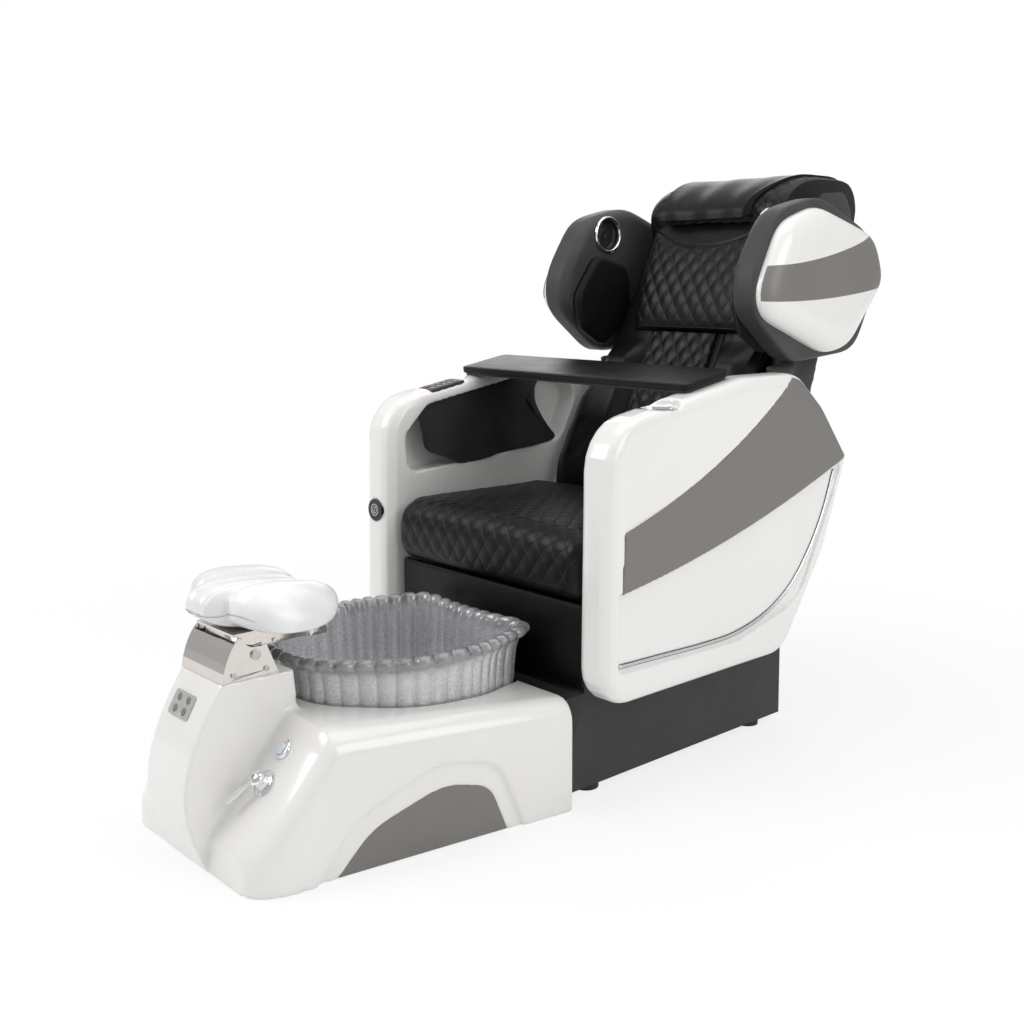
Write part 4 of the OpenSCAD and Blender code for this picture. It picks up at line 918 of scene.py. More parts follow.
class SPA_OT_bowl(Operator):
    """Fluted resin bowl with a rolled, scalloped lip, and its drain"""
    bl_idname = "spa.bowl"
    bl_label = "Bowl"

    def execute(self, context):
        n = context.scene.spa_sizes.flutes
        # rings as offset from the plan, height, flute depth across and up
        wall = [(-66, 155, 0, 0), (-52, 156, 0.1, 0), (-44, 163, 0.2, 0), (-33, 185, 0.45, 0),
                (-27, 230, 0.7, 0), (-24, 275, 0.9, 0), (-20, 305, 1.1, 0)]
        lip = [(-11, 321, 1.5, 0.6), (-1, 327, 1.7, 1.6), (4, 334, 1.8, 1.8), (3, 341, 1.8, 1.8),
               (-5, 346.5, 1.7, 1.8), (-14, 347, 1.8, 1.6), (-23, 341, 2.0, 1.0), (-29, 328, 2.2, 0.3)]
        inside = [(-31, 305, 2.8, 0), (-33, 270, 3.0, 0), (-36, 230, 2.6, 0), (-42, 188, 1.4, 0),
                  (-52, 168, 0.4, 0), (-66, 161, 0, 0)]
        rows = spline(wall + lip + inside, 84)
        a = turns(n * 12)
        plan = bowl_plan(a)
        out = unit(plan)
        wave = 1 - 2 * np.abs(np.sin(a * n / 2)) ** 0.62  # scallops: narrow valleys, round crests
        off, z, flute, scallop = (rows[:, k, None] for k in range(4))
        r = off - flute * 2.6 * wave
        P = grid(plan[:, 0] + out[:, 0] * r, BOWL_Y + plan[:, 1] + out[:, 1] * r, z - scallop * 1.1 * wave)
        # the floor is a ring down to the drain, closed through its thickness
        hole = out * 22 + (0, BOWL_Y)
        low, high = (np.insert(hole, 2, h, axis=1)[None] for h in (155.0, 161.0))
        o = lay("bowl_resin", *ring_skin(np.concatenate((low, P, high)) * MM))
        settle(o, "base", finishes()["resin"], ["bowl"])
        fixtures(("bowl_drain", "drain_fitting", "base", "chrome", "chrome", 0.5))
        return {"FINISHED"}


class SPA_OT_footrest(Operator):
    """Steel bracket, hinge bars and the padded footrest"""
    bl_idname = "spa.footrest"
    bl_label = "Footrest"

    def execute(self, context):
        fixtures(("bracket_sheet", "footrest_bracket", "base", "steel", "stainless", 0),
                 ("bracket_screws", "bracket_bolts", "base", "zinc", "stainless", 0.5),
                 ("hinge_rod", "footrest_pin", "base", "zinc", "stainless", 0.6),
                 ("hinge_bars", "footrest_carrier", "footrest", "steel", "stainless", 0.6))
        lo, hi = (np.array(v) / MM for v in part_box("footrest_pad"))
        seat, hw = lo[2], (hi[0] - lo[0]) / 2
        x = hw * np.sin(np.linspace(-PI / 2, PI / 2, 150))[:, None]
        w = turns(120)[None]
        # every section is a flattened superellipse; the lobes stand up either side of a forward tongue
        ax = np.abs(x)
        edge = np.sqrt(np.clip(1 - (ax / hw) ** 4.2, 0.0, 1))
        front = 142 + (108 - 142) * ease(34, 60, ax) - 11 * bell(ax, 50, 8)
        rear = 98 + (108 - 98) * ease(5, 80, ax)
        groove = bell(ax, 46, 6) + 0.6 * bell(ax, 18, 5)
        up = (64 + 14 * bell(ax, 92, 42) - 6 * groove) * edge
        c, s = np.cos(w), np.sin(w)
        flat_c, flat_s = np.sign(c) * np.abs(c) ** 0.66, np.sign(s) * np.abs(s) ** 0.8
        y = np.where(flat_c > 0, rear, front) * edge * flat_c
        fade = ease(40, -70, y) * np.where(s > 0, flat_s, 0)
        crown = up * (0.5 + 0.5 * flat_s) + (10 - 0.1 * y) * flat_s * edge
        belly = up * 0.5 * (1 + flat_s) + np.clip(np.abs(y) - 60, 0, None) * 0.1
        z = seat + 10 * (1 - edge) + np.where(s > 0, crown, belly) - 4 * groove * fade * edge
        padded("footrest_cushion", grid(x, -497 + y, z) * MM, None, "footrest", finishes()["white_skin"],
               ["footrest_pad"])
        return {"FINISHED"}


class SPA_OT_controls(Operator):
    """Tap, jet button, prow keys and power button"""
    bl_idname = "spa.controls"
    bl_label = "Controls"

    def execute(self, context):
        fixtures(("tap_flange", "tap_base", "base", "chrome", "chrome", 0.5),
                 ("tap_dome", "tap_cap", "tap_head", "chrome", "chrome", 0.6),
                 ("tap_blade", "tap_lever", "tap_handle", "chrome", "chrome", 0.9),
                 ("jet_ring", "jet_bezel", "base", "chrome", "chrome", 0.5),
                 ("jet_cap", "jet_button", "jet_button", "pearl", "pearl", 0.6),
                 ("key_face", "key_plate", "base", "silver", "silver_plastic", 0.9),
                 ("power_ring", "power_bezel", "base", "black", "black_trim", 0.5),
                 ("power_cap", "power_button", "power_button", "black", "black_trim", 0.4))
        for key in ("key_1", "key_2", "key_3", "key_4"):
            fixtures(("prow_" + key, key, key, "dim", "silver_plastic", 0.3))
        # two thin white rings and a bar printed on the power button
        lo, hi = (np.array(v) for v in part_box("power_button"))
        c, face, w = (lo + hi) / 2, lo[1] - 0.0001, turns(48)
        rings = [cord_of(grid(c[0] + r * np.cos(w), face, c[2] + r * np.sin(w)), 0.0008, 8, True)
                 for r in (0.0135, 0.0078)]
        bar = cord_of(grid(c[0], face, c[2] + np.linspace(-0.004, 0.004, 12)), 0.0008)
        settle(lay("power_mark", *joined(*rings, bar)), "power_button", finishes()["mark"])
        return {"FINISHED"}


class SPA_OT_base(Operator):
    """Base box, feet, apron, ports, rails and seat frame"""
    bl_idname = "spa.base"
    bl_label = "Base"

    def execute(self, context):
        fixtures(("box_panels", "base_box", "base", "board", "charcoal", 0),
                 ("box_pads", "box_feet", "base", "rubber", "rubber_black", 1.0),
                 ("port_stubs", "rear_ports", "base", "brass", "brass", 0.5),
                 ("arm_brackets", "arm_mounts", "base", "paint", "dark_steel", 1.0),
                 ("rails", "seat_rails", "base", "zinc", "zinc_steel", 0.8),
                 ("seat_pan", "seat_frame", "seat", "paint", "dark_steel", 1.0),
                 ("recline_rods", "recline_pins", "seat", "zinc", "zinc_steel", 0.6),
                 ("recline_plates", "back_hinge", "back", "paint", "dark_steel", 1.0),
                 ("wing_brackets", "wing_mounts", "back", "paint", "dark_steel", 1.0))
        # apron: leather stretched over the front, slack enough to ripple
        lo, hi = (np.array(v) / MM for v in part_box("apron"))
        x = np.linspace(-1, 1, 150)[:, None]
        z = np.linspace(0, 1, 70)[None]
        X, Z = np.broadcast_arrays(x * hi[0], lo[2] + (hi[2] - lo[2]) * z)
        ripple = 1.6 * wander(X / 90, Z / 34, 3) + 0.9 * wander(X / 38, Z / 60, 5)
        face = np.interp(Z, [lo[2], lo[2] + 18, hi[2] - 40, hi[2] - 8, hi[2]], [60, 58, 56, 56, 58])
        face = face + ripple * np.sin(PI * z) ** 0.5 * (1 - x**8)
        P = out_and_back(grid(X, face, Z), grid(X, 71.5, Z)) * MM
        cover = lay("apron_cover", *skin(P), crease=60)
        settle(cover, "base", finishes()["apron"], ["apron"])
        return {"FINISHED"}


class SPA_OT_arms(Operator):
    """Arm shells, stripes, chrome trims, cup ring and remote"""
    bl_idname = "spa.arms"
    bl_label = "Arms"

    def execute(self, context):
        F, s = finishes(), context.scene.spa_sizes

        def crown(co):
            """The side field sinks 6 mm behind the rounded front band and comes back to the surface
            upwards and rearwards."""
            y, z, ax = co[:, 1] / MM, co[:, 2] / MM, np.abs(co[:, 0]) / MM
            dip = 6.0 * ease(58, 84, y - 10 * ease(620, 760, z)) * np.exp(-np.clip(y - 70, 0, None) / 190)
            dip = dip * ease(800, 700, z) * ease(540, 575, z)
            ax = ax - dip * ease(396, 399, ax)
            co[:, 0] = np.sign(co[:, 0]) * ax * MM
            return co

        for side in "ab":
            o = moulded("arm_shell_" + side, "arm_" + side, s.pitch, 5, crown)
            settle(o, "base", F["gelcoat"], ["arm_" + side])
        inlays = moulded("arm_inlays", "arm_stripes", 3.0, 3)
        settle(inlays, "base", F["stripe"], ["arm_stripes"])
        # silver strip along the panel's lower and rear edge, with a thin black cord either side as a painted
        # shadow line
        path = spline([(66, 295), (180, 292), (330, 288), (440, 292), (548, 318), (636, 366), (706, 440),
                       (758, 522), (796, 612)], 240)
        n = unit(np.stack((-np.gradient(path[:, 1]), np.gradient(path[:, 0])), -1))
        strips, lines = [], []
        for sign in (1, -1):
            for k, r, out in ((-1.5, 2.0, strips), (1.5, 2.0, strips), (-4.1, 0.6, lines), (4.1, 0.6, lines)):
                q = np.insert(path + n * k, 0, sign * ARM_FACE, axis=1)
                out.append(cord_of(q * MM, r * MM, 10))
        settle(lay("arm_strips", *joined(*strips)), "base", F["strip"], ["arm_trims"])
        # painted shadow: black cords standing in for the shadow lines along the strip's edges
        settle(lay("arm_strip_shadow_lines", *joined(*lines)), "base", F["black"])
        # red key: a thin tile lying on the remote's face
        mid, sunk = 210, 0.75
        left, right, near, far = -363.5, -347.5, 170.5, 179.5
        tile = [(left, near, 1.5), (right, near, 1.5), (right, far, 1.5), (left, far, 1.5)]
        co, faces = prism(fillets(tile, 3), 0, 0.6)
        co = co / MM
        co = on_arm(co[:, 0], co[:, 1] - mid, -sunk + co[:, 2], mid)
        settle(lay("remote_red", co * MM, faces), "base", F["red_key"])
        fixtures(("cup_ring", "cup_insert", "base", "chrome", "chrome", 0.4),
                 ("remote_tray", "remote_panel", "base", "remote", "black_trim", 0.8),
                 ("remote_pads", "remote_keys", "base", "grey_key", "grey_keys", 0.5))
        return {"FINISHED"}


class SPA_OT_curtains(Operator):
    """Forearm cloths hung in the mouths of the arm bays"""
    bl_idname = "spa.curtains"
    bl_label = "Forearm cloths"

    def execute(self, context):
        F, fold = finishes(), context.scene.spa_sizes.fold
        count = 130
        top = spline([(112, 752), (135, 760), (200, 771), (300, 787), (400, 802), (450, 808),
                      (520, 808)], count)
        low = spline([(126, 690), (140, 648), (205, 620), (262, 604), (400, 622), (560, 640), (500, 704),
                      (462, 748)], 400)
        low = even(low, count, False)
        v = np.linspace(0, 1, 70)
        for side, sign in (("a", 1), ("b", -1)):
            Y, Z = (top[:, k, None] * (1 - v) + low[:, k, None] * v for k in (0, 1))
            Z -= 4 * np.sin(PI * v) * np.sin(PI * np.linspace(0, 1, count))[:, None]
            pleat = 0.5 * np.sin(Y / 21 + 2.2 * v + sign) * v
            loose = 0.8 * wander(Y / 60, Z / 70 + sign, 7) * v ** 0.6
            hang = 3.0 + fold * (pleat + loose) - 10 * v
            A = grid(ARM_MID + np.clip(hang, -14, 7), Y, Z)
            B = A + (3.0, 0, 0)
            o = lay("forearm_cloth_" + side, *skin(out_and_back(A, B) * MM * (sign, 1, 1)))
            settle(o, "base", F["knit"], ["arm_curtains"] if side == "a" else [])
        return {"FINISHED"}


class SPA_OT_seat(Operator):
    """Quilted seat cushion with a rolled front"""
    bl_idname = "spa.seat"
    bl_label = "Seat"

    def execute(self, context):
        s = context.scene.spa_sizes
        lo, hi = (np.array(v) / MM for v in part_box("seat_cushion"))
        rear, front, low, top = hi[1] - 1, lo[1] + 1.5, lo[2], lo[2] + 142
        hw, end_r = hi[0], 34.0
        # one side profile carried across; it shrinks about its middle towards both rounded ends
        sec = even(fillets([(rear, low, 10), (rear, top, 30), (front, top, 60), (front + 6, low, 46)]), 380)
        tan = unit(np.roll(sec, -1, 0) - np.roll(sec, 1, 0))
        nrm = np.stack((tan[:, 1], -tan[:, 0]), -1)
        d = arc_length(sec)[None]
        t = np.linspace(-1, 1, 190)[:, None]
        x = hw * t
        k = np.clip((np.abs(x) - (hw - end_r)) / end_r, 0, 1)
        draw = 26 * (1 - np.sqrt(np.clip(1 - k**2, 0, 1)))
        mid_y, mid_z = (rear + front) / 2, (low + top) / 2
        Y = mid_y + (sec[:, 0] - mid_y)[None] * (1 - draw / 231)
        Z = mid_z + (sec[:, 1] - mid_z)[None] * (1 - draw / 71)
        Z = Z + 7 * ease(0.15, 0.75, nrm[:, 1])[None] * (1 - t**2)
        # quilted on the top and down the front, plain at the ends, the rear and the underside
        on_top = ease(-0.35, 0.1, nrm[:, 1])[None] * ease(rear - 8, rear - 40, sec[:, 0])[None]
        on_front = ease(0.3, 0.7, -nrm[:, 0])[None] * ease(low + 22, low + 34, sec[:, 1])[None]
        on = np.maximum(on_top, on_front) * (1 - ease(0.5, 0.95, k))
        h, a, b = quilt(x / s.cell_w + 0 * d, (d + 8) / s.cell_l + 0 * x, 0.22)
        puff = on * 0.7 * s.puff * (h - 0.6) + 2.0 * wander(x / 110, d / 120, 2) * on
        P = grid(x, Y + nrm[:, 0] * puff, Z + nrm[:, 1] * puff) * MM
        padded("seat_quilted", P, grid(a, b, on), "seat", finishes()["quilted"], ["seat_cushion"])
        return {"FINISHED"}


def back_padding(F):
    """Back cushion across x and up y: a flat middle between seams, bolsters that stand out beside it
    and end below the pillow, crumpled and gathered towards the hips."""
    v = np.linspace(0, 1, 190)[:, None]
    w = np.interp(v, [0, 0.3, 0.42, 0.7, 1], [284, 280, 236, 232, 210])
    w = np.convolve(np.pad(w[:, 0], 8, "edge"), np.ones(17) / 17, "valid")[:, None]
    y = -34 + v * 806
    x = w * np.sin(np.linspace(-PI / 2, PI / 2, 130)[None])
    foot, head = np.clip((0.05 - v) / 0.05, 0, 1), np.clip((v - 0.86) / 0.14, 0, 1)
    end = np.sqrt(np.clip(1 - foot**2, 0.02, 1)) * np.sqrt(np.clip(1 - head**2, 0.02, 1))
    ax = np.abs(x)
    bolster = 36 * ease(108, 150, ax) * (1 - 0.55 * ease(w - 46, w + 2, ax)) * ease(-26, 60, y)
    seam = -5 * bell(ax, 113, 5)
    crumple = 2.2 * wander(x / 70 + y / 160, y / 90, 4) + 1.0 * wander(x / 30, y / 60, 8)
    crumple = crumple * ease(116, 150, ax) * ease(-10, 60, y)
    # long gathers where the leather is pulled round the bolster towards the hips
    gather = 1.3 * np.sin((y + 1.2 * ax) / 17 + 2 * wander(x / 60, y / 80, 9))
    gather = gather * ease(0.34, 0.2, v) * ease(150, 220, ax) * ease(0, 70, y)
    z = -12 - 44 * (1 - end) + (bolster * (1 - ease(0.45, 0.55, v)) + seam + crumple + gather) * end
    z = z - 18 * ease(w - 10, w, ax)
    rear = grid(w * np.linspace(0.995, -0.995, 40)[None], y, -62.0)
    ring = np.concatenate((grid(x, y, z), rear), 1)
    padded("back_padding", on_back(*np.moveaxis(ring, -1, 0)), None, "back", F["leather"],
           ["back_cushion"])


def back_quilted(F, s):
    """Centre panel, quilted inside a flat sewn rim."""
    y0, y1, hw = 24, 430, 105
    y = np.linspace(y0, y1, 200)[:, None]
    x = np.linspace(-hw, hw, 110)[None]
    rim = ease(0, 9, hw - np.abs(x)) * ease(0, 9, y - y0) * ease(0, 9, y1 - y)
    h, a, b = quilt(x / s.cell_w + 0 * y, y / s.cell_l + 0 * x)
    z = -11.7 + rim * (10 + s.puff * (h - 0.4) + 1.5 * wander(x / 60, y / 70, 6))
    under = grid(x[:, ::-1], y, -12.0)[:, ::6]
    ring = np.concatenate((grid(x, y, z), under), 1)
    marks = np.concatenate((grid(a, b, rim), np.zeros_like(under)), 1)
    padded("back_quilted", on_back(*np.moveaxis(ring, -1, 0)), marks, "back", F["quilted"],
           ["back_panel"])


def back_rear(F):
    """Rear shell, relaxed further in its upper part and most along its side edges at arm height."""
    o = moulded("back_rear", "back_shell", 4.5, 6)
    co = np.abs(points(o) / MM)
    relaxed(o, co[:, 2] > 640, 30)
    relaxed(o, (co[:, 2] > 770) & (co[:, 2] < 900) & (co[:, 0] > 232), 90)
    settle(o, "back", F["side"], ["back_shell"])


def head_cover(F, s):
    """Cover over the head end, quilted where the loose flap leaves it bare."""
    path = spline([(838, 1120), (824, 1180), (820, 1222), (834, 1254), (868, 1282), (912, 1300),
                   (966, 1310), (1036, 1313.5), (1098, 1312.5), (1133, 1300), (1158, 1273),
                   (1171, 1236), (1168, 1200)], 240)
    path = even(path, 150, False)
    d = arc_length(path)
    t = np.linspace(-1, 1, 120)[:, None]
    half = np.interp(d, [0, 150, 400, d[-1]], [216, 213, 207, 198])[None]
    on = ease(10, 24, d)[None] * ease(390, 360, d)[None] * (1 - np.abs(t) ** 12)
    h, a, b = quilt(t * half / s.cell_w, d[None] / 52 + 0 * t)
    lift = -10 * np.abs(t) ** 10 + on * 3.6 * (h - 0.2) + 1.0 * wander(t * 4, d / 60, 12)
    A = grid(t * half, *lifted(path, lift))
    q = np.linspace(0, 1, 150)
    B = grid(t * half, 900 + 258 * q, 1130 + 70 * q)
    marks = grid(a, b, on)
    marks = out_and_back(marks, marks * (1, 1, 0))
    padded("head_cover", out_and_back(A, B) * MM, marks, "back", F["quilted"], ())


class SPA_OT_back(Operator):
    """Back cushion with side bolsters, quilted centre panel, rear shell and head cover"""
    bl_idname = "spa.back"
    bl_label = "Back"

    def execute(self, context):
        F, s = finishes(), context.scene.spa_sizes
        back_padding(F)
        back_quilted(F, s)
        back_rear(F)
        head_cover(F, s)
        return {"FINISHED"}


def head_pillow(F, s):
    """Head pillow: a full round body, quilted below the smooth cap's curved seam."""
    y0, y1 = PILLOW
    y = np.linspace(y0, y1, 190)[:, None]
    v = (y - y0) / (y1 - y0)
    w = 185 - 10 * np.abs(2 * v - 1) ** 3 + 22 * v
    t = np.sin(np.linspace(-PI / 2, PI / 2, 170))[None]
    x = w * t
    ax = np.abs(x)
    ends = np.clip(np.sin(PI * (0.015 + 0.97 * v)), 0, 1) ** 0.33
    body = np.clip(1 - np.abs(t) ** 7, 0, 1) ** 0.5 * ends
    lens = 640 + 62 * (x / 184) ** 2 - y  # positive below the smooth cap's seam
    on = ease(4, 12, lens) * ease(0, 8, 164 - ax) * ease(0, 9, y - y0 - 7)
    h, a, b = quilt(x / 44.0, y / 62.0 + 0 * x)
    z = -11.7 + 8 * body + (37 + 14 * v - 6 * ease(0.6, 1, v)) * body
    z = z + body * on * 0.9 * s.puff * (h - 0.4) + body * (1 - on) * 1.6 * wander(x / 60, y / 24, 5)
    z = z - 3.2 * body * bell(lens, 0, 3.2) - 2.6 * body * bell(ax, 166, 2.6) * ease(-6, 6, lens)
    under = grid(w * np.linspace(0.98, -0.98, 24)[None], y, -11.6)
    ring = np.concatenate((grid(x, y, z), under), 1)
    marks = np.concatenate((grid(a, b, on), np.zeros_like(under)), 1)
    padded("pillow_quilted", on_back(*np.moveaxis(ring, -1, 0)), marks, "back", F["quilted"],
           ["head_pillow"])


def back_piping(F):
    """Piping along the pillow's lower hem and the centre panel's side seams."""
    xs = np.linspace(-180, 180, 90)
    hem = on_back(xs, PILLOW[0] + 3, 2.0 + 6 * (1 - (np.abs(xs) / 182) ** 6))
    ys = np.linspace(30, 424, 90)
    sides = [cord_of(on_back(sign * 109, ys, -6.5), 0.0016) for sign in (-1, 1)]
    piping = lay("back_piping", *joined(cord_of(hem, 0.0022), *sides))
    settle(piping, "back", F["leather"])


def head_flap(F):
    """Smooth cloth over the crest, lifting and rippling along its front hem."""
    path = spline([(794, 1204), (799, 1232), (824, 1262), (866, 1288), (912, 1306), (966, 1316),
                   (1036, 1318), (1098, 1316.5), (1136, 1304), (1162, 1277), (1175, 1238)], 200)
    path = even(path, 110, False)
    q = np.linspace(0, 1, 110)[None]
    u = np.linspace(-1, 1, 130)[:, None]
    x = u * (134 + 34 * ease(0, 0.4, q)) - 16 * (1 - ease(0, 0.4, q))
    ripple = 2.2 * np.sin(u * 9 + 1.5 * q * 4) * np.exp(-q * 2.4) + 2.0 * wander(u * 3, q * 3, 21)
    ripple = ripple + 3.5 * np.abs(u) ** 10 * (1 - q) + 1.0
    A, B = (grid(x, *lifted(path, ripple - deep)) for deep in (0, 2.4))
    o = lay("head_flap_cloth", *skin(out_and_back(A, B) * MM))
    settle(o, "back", F["leather"], ["head_flap"])


class SPA_OT_head(Operator):
    """Head pillow, its piping, and the loose flap over the top"""
    bl_idname = "spa.head"
    bl_label = "Head pillow"

    def execute(self, context):
        F, s = finishes(), context.scene.spa_sizes
        head_pillow(F, s)
        back_piping(F)
        head_flap(F)
        return {"FINISHED"}


def rounded(corners, count, k):
    """Closed outline with rounded corners, softened over k of its points."""
    return soften(even(fillets(corners, 12), count), k)


def wing_rings(line):
    """Wing pad's rings: a flat inner face, a quarter-round edge, the upright side and a small turn-in,
    as the outline moved inwards by r and set at x."""
    turn = np.linspace(0, PI / 2, 14)
    rows = [(30 * (1 - math.sin(t)), 262 + 30 * (1 - math.cos(t))) for t in turn]
    rows += [(0, x) for x in np.linspace(296, 326, 9)] + [(1.5, 330), (4, 333), (8, 334)]
    n, mid = inwards(line), line.mean(0)
    rings = [np.insert(line + n * r, 0, x, axis=1) for r, x in rows]
    rim = rings[0][:, 1:]
    face = [np.insert(mid + (rim - mid) * k, 0, 262.0, axis=1) for k in (0.2, 0.4, 0.6, 0.8)]
    return np.stack(face + rings)


def airbag_rings(line):
    """Airbag's rings: a back, a rounded edge and a face that rises 3 mm to its middle."""
    n, turn = inwards(line), np.linspace(0, PI / 2, 12)
    steps = [(0, 261.5), (0, 255)] + [(16 * (1 - math.cos(t)), 255 - 13 * math.sin(t)) for t in turn]
    rings = [np.insert(line + n * r, 0, x, axis=1) for r, x in steps]
    rim = rings[-1]
    core = rim.mean(0)
    for k in np.linspace(0.95, 0.05, 24):
        ring = core + (rim - core) * k
        creased = 0.9 * wander(ring[:, 1] / 30, ring[:, 2] / 30, 7) * (1 - k ** 6)
        ring[:, 0] = 242 - 3.0 * (1 - k ** 2) + creased
        rings.append(ring)
    return np.stack(rings)


def wing_cap():
    """Rings of the wing's white shell and of the stripe that lies on it."""
    # shell: the outline drawn in to its middle and raised on the dome
    cap = rounded([(575, 968, 40), (815, 878, 110), (905, 892, 60), (1052, 1050, 50), (1005, 1164, 70),
                   (770, 1226, 90), (634, 1182, 80), (549, 1022, 60)], 420, 17)
    foot, tall, border = 334.3, 39.7, 80

    def dome(d):
        """Height at d inside the outline: it rises over the border and is flat beyond it."""
        return foot + tall * np.sqrt(np.clip(1 - (1 - np.clip(d, 0, border) / border) ** 3, 0, 1))

    centre = cap.mean(0)
    shells = [centre + (cap - centre) * k for k in 1 - np.linspace(0, 0.985, 44) ** 1.6]
    hood = [np.insert(c, 0, dome(np.clip(inside_by(cap, *c.T), 0, None)), axis=1) for c in shells]
    hood[0][:, 0] = foot
    # stripe: a band laid on the dome between two curves, its ends cut to the cap's outline
    low = bow((540, 1006), (800, 998), (1080, 1046), 900)
    high = bow((566, 1084), (820, 1092), (1080, 1200), 900)
    count = 40
    rows = (low + (high - low) * v for v in np.linspace(0, 1, count))
    band = np.array([even(row[inside_by(cap, *row.T) > 2.0], 150, False) for row in rows])
    lift = dome(inside_by(cap, band[..., 0], band[..., 1]))
    step = np.arange(count)
    edge = np.minimum(1, np.minimum(step, step[::-1]))[:, None]
    face = np.insert(band, 0, lift + 0.7 * edge, axis=2)
    back = np.insert(band, 0, lift - 3.0, axis=2)
    return np.stack(hood), out_and_back(face, back)


class SPA_OT_wings(Operator):
    """Padded wings with white shells, stripes, speakers and shoulder airbags"""
    bl_idname = "spa.wings"
    bl_label = "Wings"

    def execute(self, context):
        F = finishes()
        pad = wing_rings(rounded([(702, 862, 40), (962, 882, 70), (1068, 1070, 60), (1010, 1172, 70),
                                  (800, 1250, 110), (640, 1212, 90), (556, 1080, 120),
                                  (542, 985, 80)], 420, 17))
        hood, band = wing_cap()
        bag = airbag_rings(rounded([(604, 928, 26), (690, 876, 34), (798, 964, 40), (780, 1090, 40),
                                    (658, 1120, 40), (578, 1010, 60)], 360, 11))
        bags, inlays = [], []
        speaker, bore_r, ring_x, ring_r, w = (712, 1172), 42, 259.2, 44.5, turns(72)
        for side, sign in (("a", 1), ("b", -1)):
            turned = MM * np.array((sign, 1, 1))
            P = pad.copy()
            y, z = P[..., 1], P[..., 2]
            r, th = np.hypot(y - 560, z - 960), np.arctan2(z - 960, y - 560)
            pleat = np.sin(th * 26 + 1.5 * wander(y / 40, z / 40, 3)) * np.exp(-r / 110) * ease(15, 50, r)
            P[..., 0] -= 1.2 * pleat * (P[..., 0] < 264)
            o = lay("wing_pad_" + side, *skin(P * turned))
            carve(o, prism(disc(*speaker, bore_r), *sorted((sign * 240, sign * 284)), axis=0))
            settle(o, "back", F["side"], ["wing_" + side])
            shell = lay("wing_cap_" + side, *skin(hood * turned), crease=50)
            settle(shell, "back", F["gelcoat"], ["wing_shell_" + side])
            inlays.append(skin(band * turned)[:2])
            bags.append(skin(bag * turned)[:2])
            path = grid(sign * ring_x, speaker[0] + ring_r * np.cos(w), speaker[1] + ring_r * np.sin(w)) * MM
            ring = lay("speaker_ring_" + side, *cord_of(path, 0.0046, 12, True))
            settle(ring, "back", F["chrome"])
        fixtures(("speaker_cones", "speakers", "back", "black", "chrome", 0.8))
        o = lay("wing_inlays", *faced_out(*inlays), crease=50)
        settle(o, "back", F["stripe"], ["wing_stripes"])
        o = lay("shoulder_airbags", *faced_out(*bags))
        settle(o, "back", F["air"], ["airbags"])
        return {"FINISHED"}


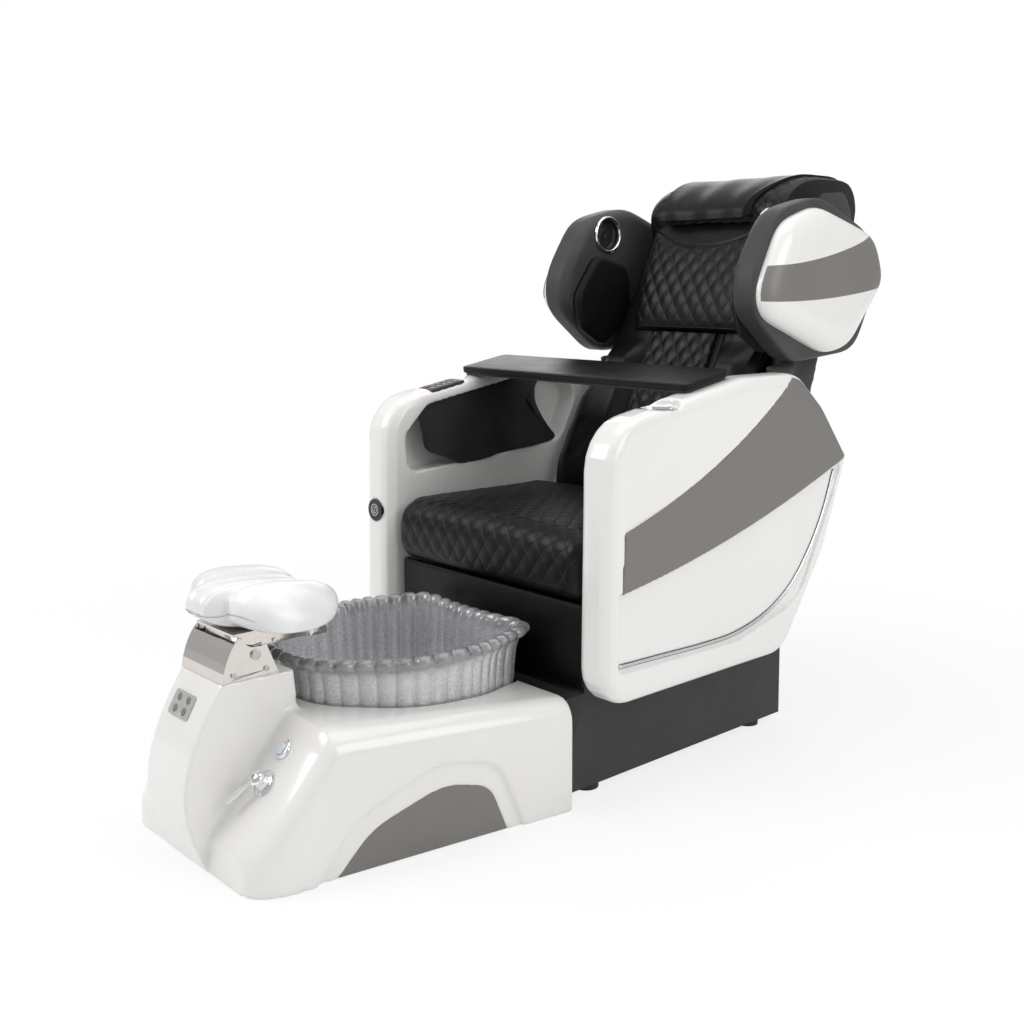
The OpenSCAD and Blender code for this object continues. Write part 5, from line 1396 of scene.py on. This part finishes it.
class SPA_OT_tray(Operator):
    """Padded swinging tray"""
    bl_idname = "spa.tray"
    bl_label = "Tray"

    def execute(self, context):
        F = finishes()
        fixtures(("tray_plate", "tray_board", "tray", "black", "black_trim", 0.8),
                 ("tray_post", "tray_pivot", "tray", "zinc", "zinc_steel", 0.5))
        mid, long, wide = 366, 363.0, 74.0

        def outline(inset, r, count):
            """Rounded oblong, inset from the tray's edge."""
            L, W = long - inset, wide - inset
            return even(fillets([(-L, -W, r), (L, -W, r), (L, W, r), (-L, W, r)], 12), count)

        # padding: the outline drawn in and raised by the rows, then closed over the flat top
        line = outline(0, 15, 460)
        rows = spline([(2.5, 0), (0.3, 1.2), (0, 5), (0, 11), (0.6, 14.2), (2.4, 16.2), (6, 17.2), (14, 17.9),
                       (34, 18.6), (46, 18.8)], 52)
        shrink = np.linspace(0.95, 0.02, 24)[:, None]
        X, Y = (line[None, :, k] * ((size - rows[:, 0]) / size)[:, None]
                for k, size in enumerate((long, wide)))
        X, Y = (np.vstack((A, A[-1] * shrink)) for A in (X, Y))
        inner = np.r_[ease(14, 40, rows[:, 0]), ease(0, 0.4, shrink[:, 0])][:, None]
        height = np.r_[rows[:, 1], np.full(len(shrink), rows[-1, 1])][:, None]
        Z = 5.6 + height * 0.92 + 0.5 * wander(X / 70, Y / 30, 2) * inner
        padded("tray_padding", on_arm(X, Y, Z, mid) * MM, None, "tray", F["tray"], ["tray_pad"])
        e = outline(1, 14, 200)
        piping = cord_of(on_arm(e[:, 0], e[:, 1], 18.6, mid) * MM, 0.0016, 8, True)
        settle(lay("tray_piping", *piping), "tray", F["tray"])
        return {"FINISHED"}


STEPS = (SPA_OT_stage, SPA_OT_bath, SPA_OT_bowl, SPA_OT_footrest, SPA_OT_controls, SPA_OT_base, SPA_OT_arms,
         SPA_OT_curtains, SPA_OT_seat, SPA_OT_back, SPA_OT_head, SPA_OT_wings, SPA_OT_tray)


class SPA_PT_panel(Panel):
    """Lists the pieces and their settings"""
    bl_idname = "SPA_PT_panel"
    bl_label = "Pedicure spa chair"
    bl_space_type = "VIEW_3D"
    bl_region_type = "UI"
    bl_category = "Spa Chair"

    def draw(self, context):
        for group in (context.scene.spa_colours, context.scene.spa_sizes):
            for p in group.bl_rna.properties:
                if p.identifier not in {"rna_type", "name"}:
                    self.layout.prop(group, p.identifier)
        for step in STEPS:
            self.layout.operator(step.bl_idname)


CLASSES = (SpaColours, SpaSizes, *STEPS, SPA_PT_panel)


def register():
    for c in CLASSES:
        bpy.utils.register_class(c)
    bpy.types.Scene.spa_colours = PointerProperty(type=SpaColours)
    bpy.types.Scene.spa_sizes = PointerProperty(type=SpaSizes)


def unregister():
    del bpy.types.Scene.spa_sizes, bpy.types.Scene.spa_colours
    for c in reversed(CLASSES):
        bpy.utils.unregister_class(c)


def main():
    register()
    for step in STEPS:
        group, name = step.bl_idname.split(".")
        getattr(getattr(bpy.ops, group), name)()


if __name__ == "__main__":
    main()
